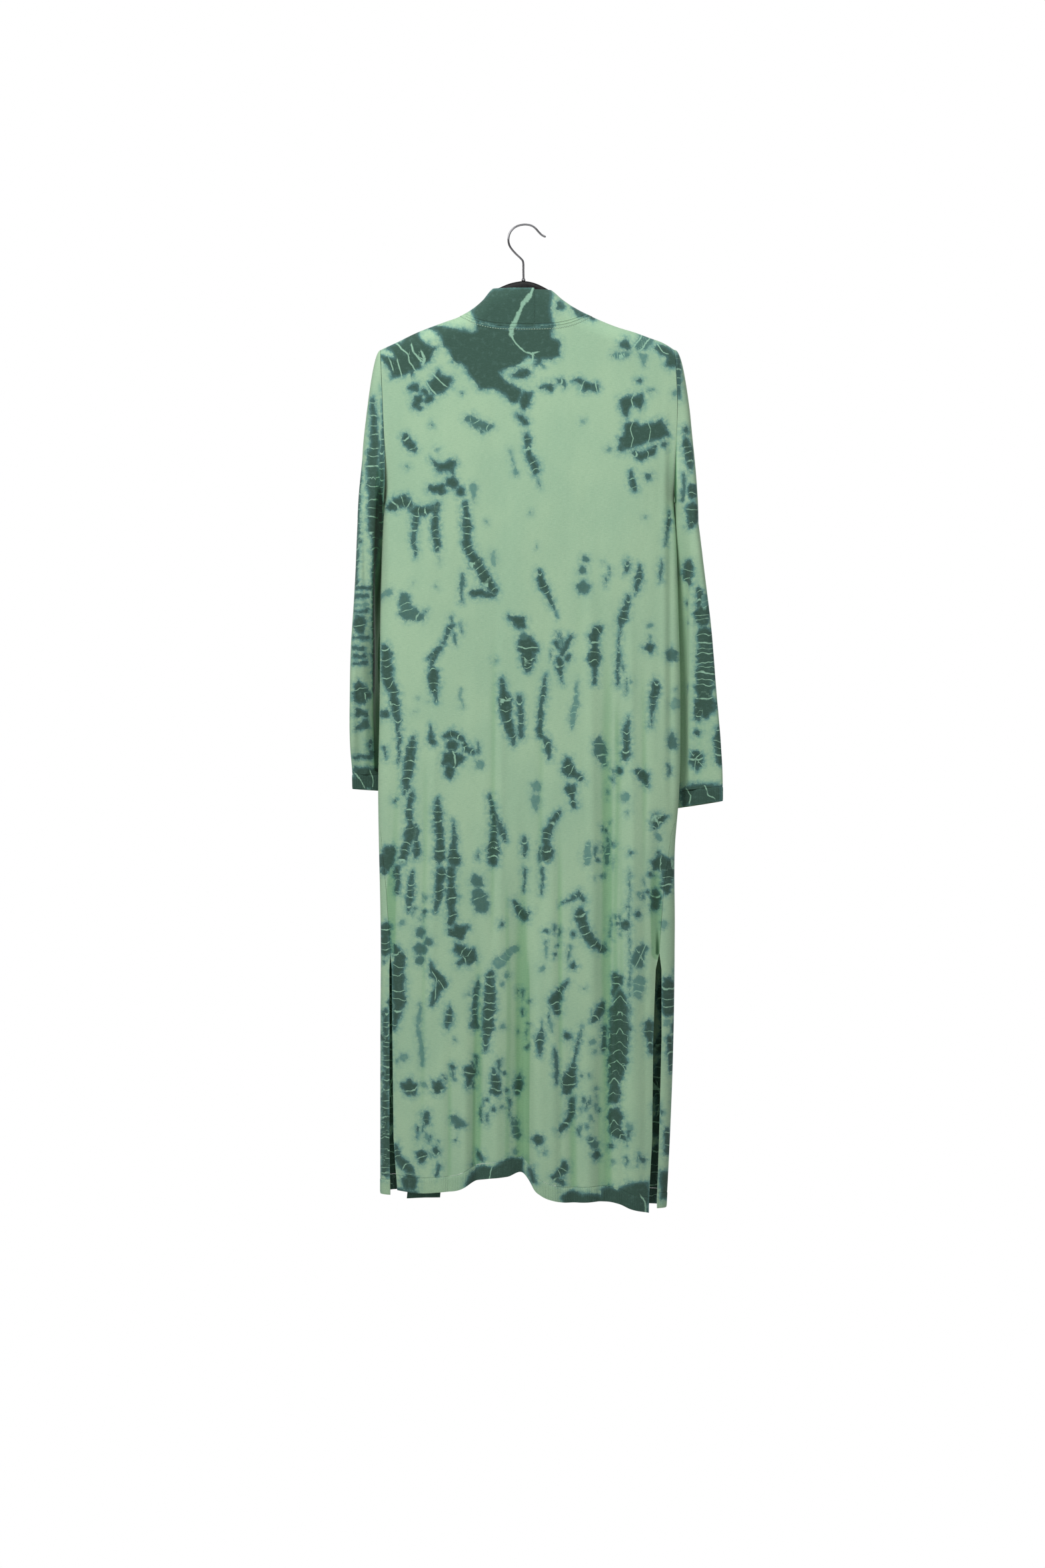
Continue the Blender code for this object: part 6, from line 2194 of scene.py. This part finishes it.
def pale_thread():
    """The thread of the visible stitches."""
    graph = Graph("pale thread")
    place = graph.object_space()
    twist = graph.noise(graph.scaled(place, 0.0006, 0.0006), 2.0)
    graph.set("Base Color", graph.blend(twist, linear(*THREAD_DARK), linear(*THREAD_PALE)))
    graph.set("Roughness", 0.85)
    return graph.material


def pale_floor():
    """The plain pale floor."""
    graph = Graph("plain floor")
    place = graph.object_space()
    grain = graph.noise(graph.scaled(place, 0.05, 0.05), 2.0)
    graph.set("Base Color", graph.blend(grain, linear(250, 250, 251), linear(252, 252, 252)))
    graph.set("Roughness", 0.95)
    graph.set("Emission Color", WHITE)
    graph.set("Emission Strength", FLOOR_GLOW)
    return graph.material


# The studio


def add_area(name, power, size, place, aim):
    """A soft lamp aimed at a point."""
    lamp = bpy.data.lights.new(name, "AREA")
    lamp.shape = "RECTANGLE"
    lamp.size, lamp.size_y = size
    lamp.energy = power
    piece = bpy.data.objects.new(name, lamp)
    piece.location = place
    direction = Vector(aim) - Vector(place)
    piece.rotation_euler = direction.to_track_quat("-Z", "Y").to_euler()
    piece.visible_camera = False
    bpy.context.scene.collection.objects.link(piece)


def add_floor():
    """A plain pale floor. Nothing stands behind the object, so that it can be looked at from all sides."""
    mesh = bpy.data.meshes.new("floor")
    corners = [(x, y, FLOOR_HEIGHT) for x, y in FLOOR_CORNERS]
    mesh.from_pydata(corners, [], [tuple(range(len(corners)))])
    piece = bpy.data.objects.new("floor", mesh)
    bpy.context.scene.collection.objects.link(piece)
    mesh.materials.append(pale_floor())
    piece.visible_diffuse = False


def add_camera():
    """The photo's straight-on view of the back."""
    camera = bpy.data.cameras.new("camera")
    camera.lens = LENS
    camera.sensor_width = SENSOR
    camera.sensor_height = SENSOR
    camera.sensor_fit = "AUTO"
    camera.clip_end = CLIP_END
    piece = bpy.data.objects.new("camera", camera)
    piece.location = CAMERA_PLACE
    piece.rotation_euler = (math.pi / 2, 0.0, 0.0)
    bpy.context.scene.collection.objects.link(piece)
    bpy.context.scene.camera = piece


def add_world():
    """An even sky that fills the shadows, in front of a plain white background."""
    world = bpy.data.worlds.new("studio")
    world.use_nodes = True
    nodes, links = world.node_tree.nodes, world.node_tree.links
    sky = nodes["Background"]
    sky.inputs["Color"].default_value = WHITE
    sky.inputs["Strength"].default_value = SKY_STRENGTH
    white = nodes.new("ShaderNodeBackground")
    white.inputs["Color"].default_value = WHITE
    white.inputs["Strength"].default_value = 1.0
    ray = nodes.new("ShaderNodeLightPath")
    both = nodes.new("ShaderNodeMixShader")
    links.new(ray.outputs["Is Camera Ray"], both.inputs[0])
    links.new(sky.outputs[0], both.inputs[1])
    links.new(white.outputs[0], both.inputs[2])
    links.new(both.outputs[0], nodes["World Output"].inputs["Surface"])
    bpy.context.scene.world = world


# Everything together

materials = {
    "jersey": tie_dyed_jersey(),
    "rib": dyed_rib("dyed rib", 1.2),
    "band": dyed_rib("dyed neck band", 1.0),
    "thread": pale_thread(),
}
body_stains = stained(BODY_STAINS)
for area in BODY_SPECKS:
    body_stains += specks(*area)
for area in FRONT_STAINS:
    body_stains += spread(*area)
sleeve_stains = {LEFT: stained(LEFT_SLEEVE_STAINS), RIGHT: stained(RIGHT_SLEEVE_STAINS)}

cloths = build_back(materials, body_stains)
for hand in (LEFT, RIGHT):
    cloths += build_front(hand, materials, body_stains)
    cloths += build_band(hand, materials, body_stains)
for hand in (LEFT, RIGHT):
    cloths += build_sleeve(hand, materials, sleeve_stains[hand] + spread(*SLEEVE_STAINS[hand]))
build_neck_seams(materials, body_stains)
build_hanger(black_plastic())
build_hook(chrome_wire())

for piece in cloths:
    width, length, area = CUTS[piece.name]

add_floor()
add_world()
add_area("key", KEY_POWER, (1.5, 1.5), KEY_PLACE, (0.0, 0.0, -0.6))
add_area("fill", FILL_POWER, (2.6, 2.6), (2.6, -3.2, -0.2), (0.0, 0.0, -0.75))
add_area("top", TOP_POWER, (3.0, 1.0), (0.0, -1.2, 1.9), (0.0, 0.0, -0.6))
add_area("front_light", FRONT_POWER, (3.0, 3.0), (0.6, 3.2, 0.6), (0.0, 0.0, -0.7))
add_camera()
bpy.context.scene.view_settings.view_transform = "Standard"
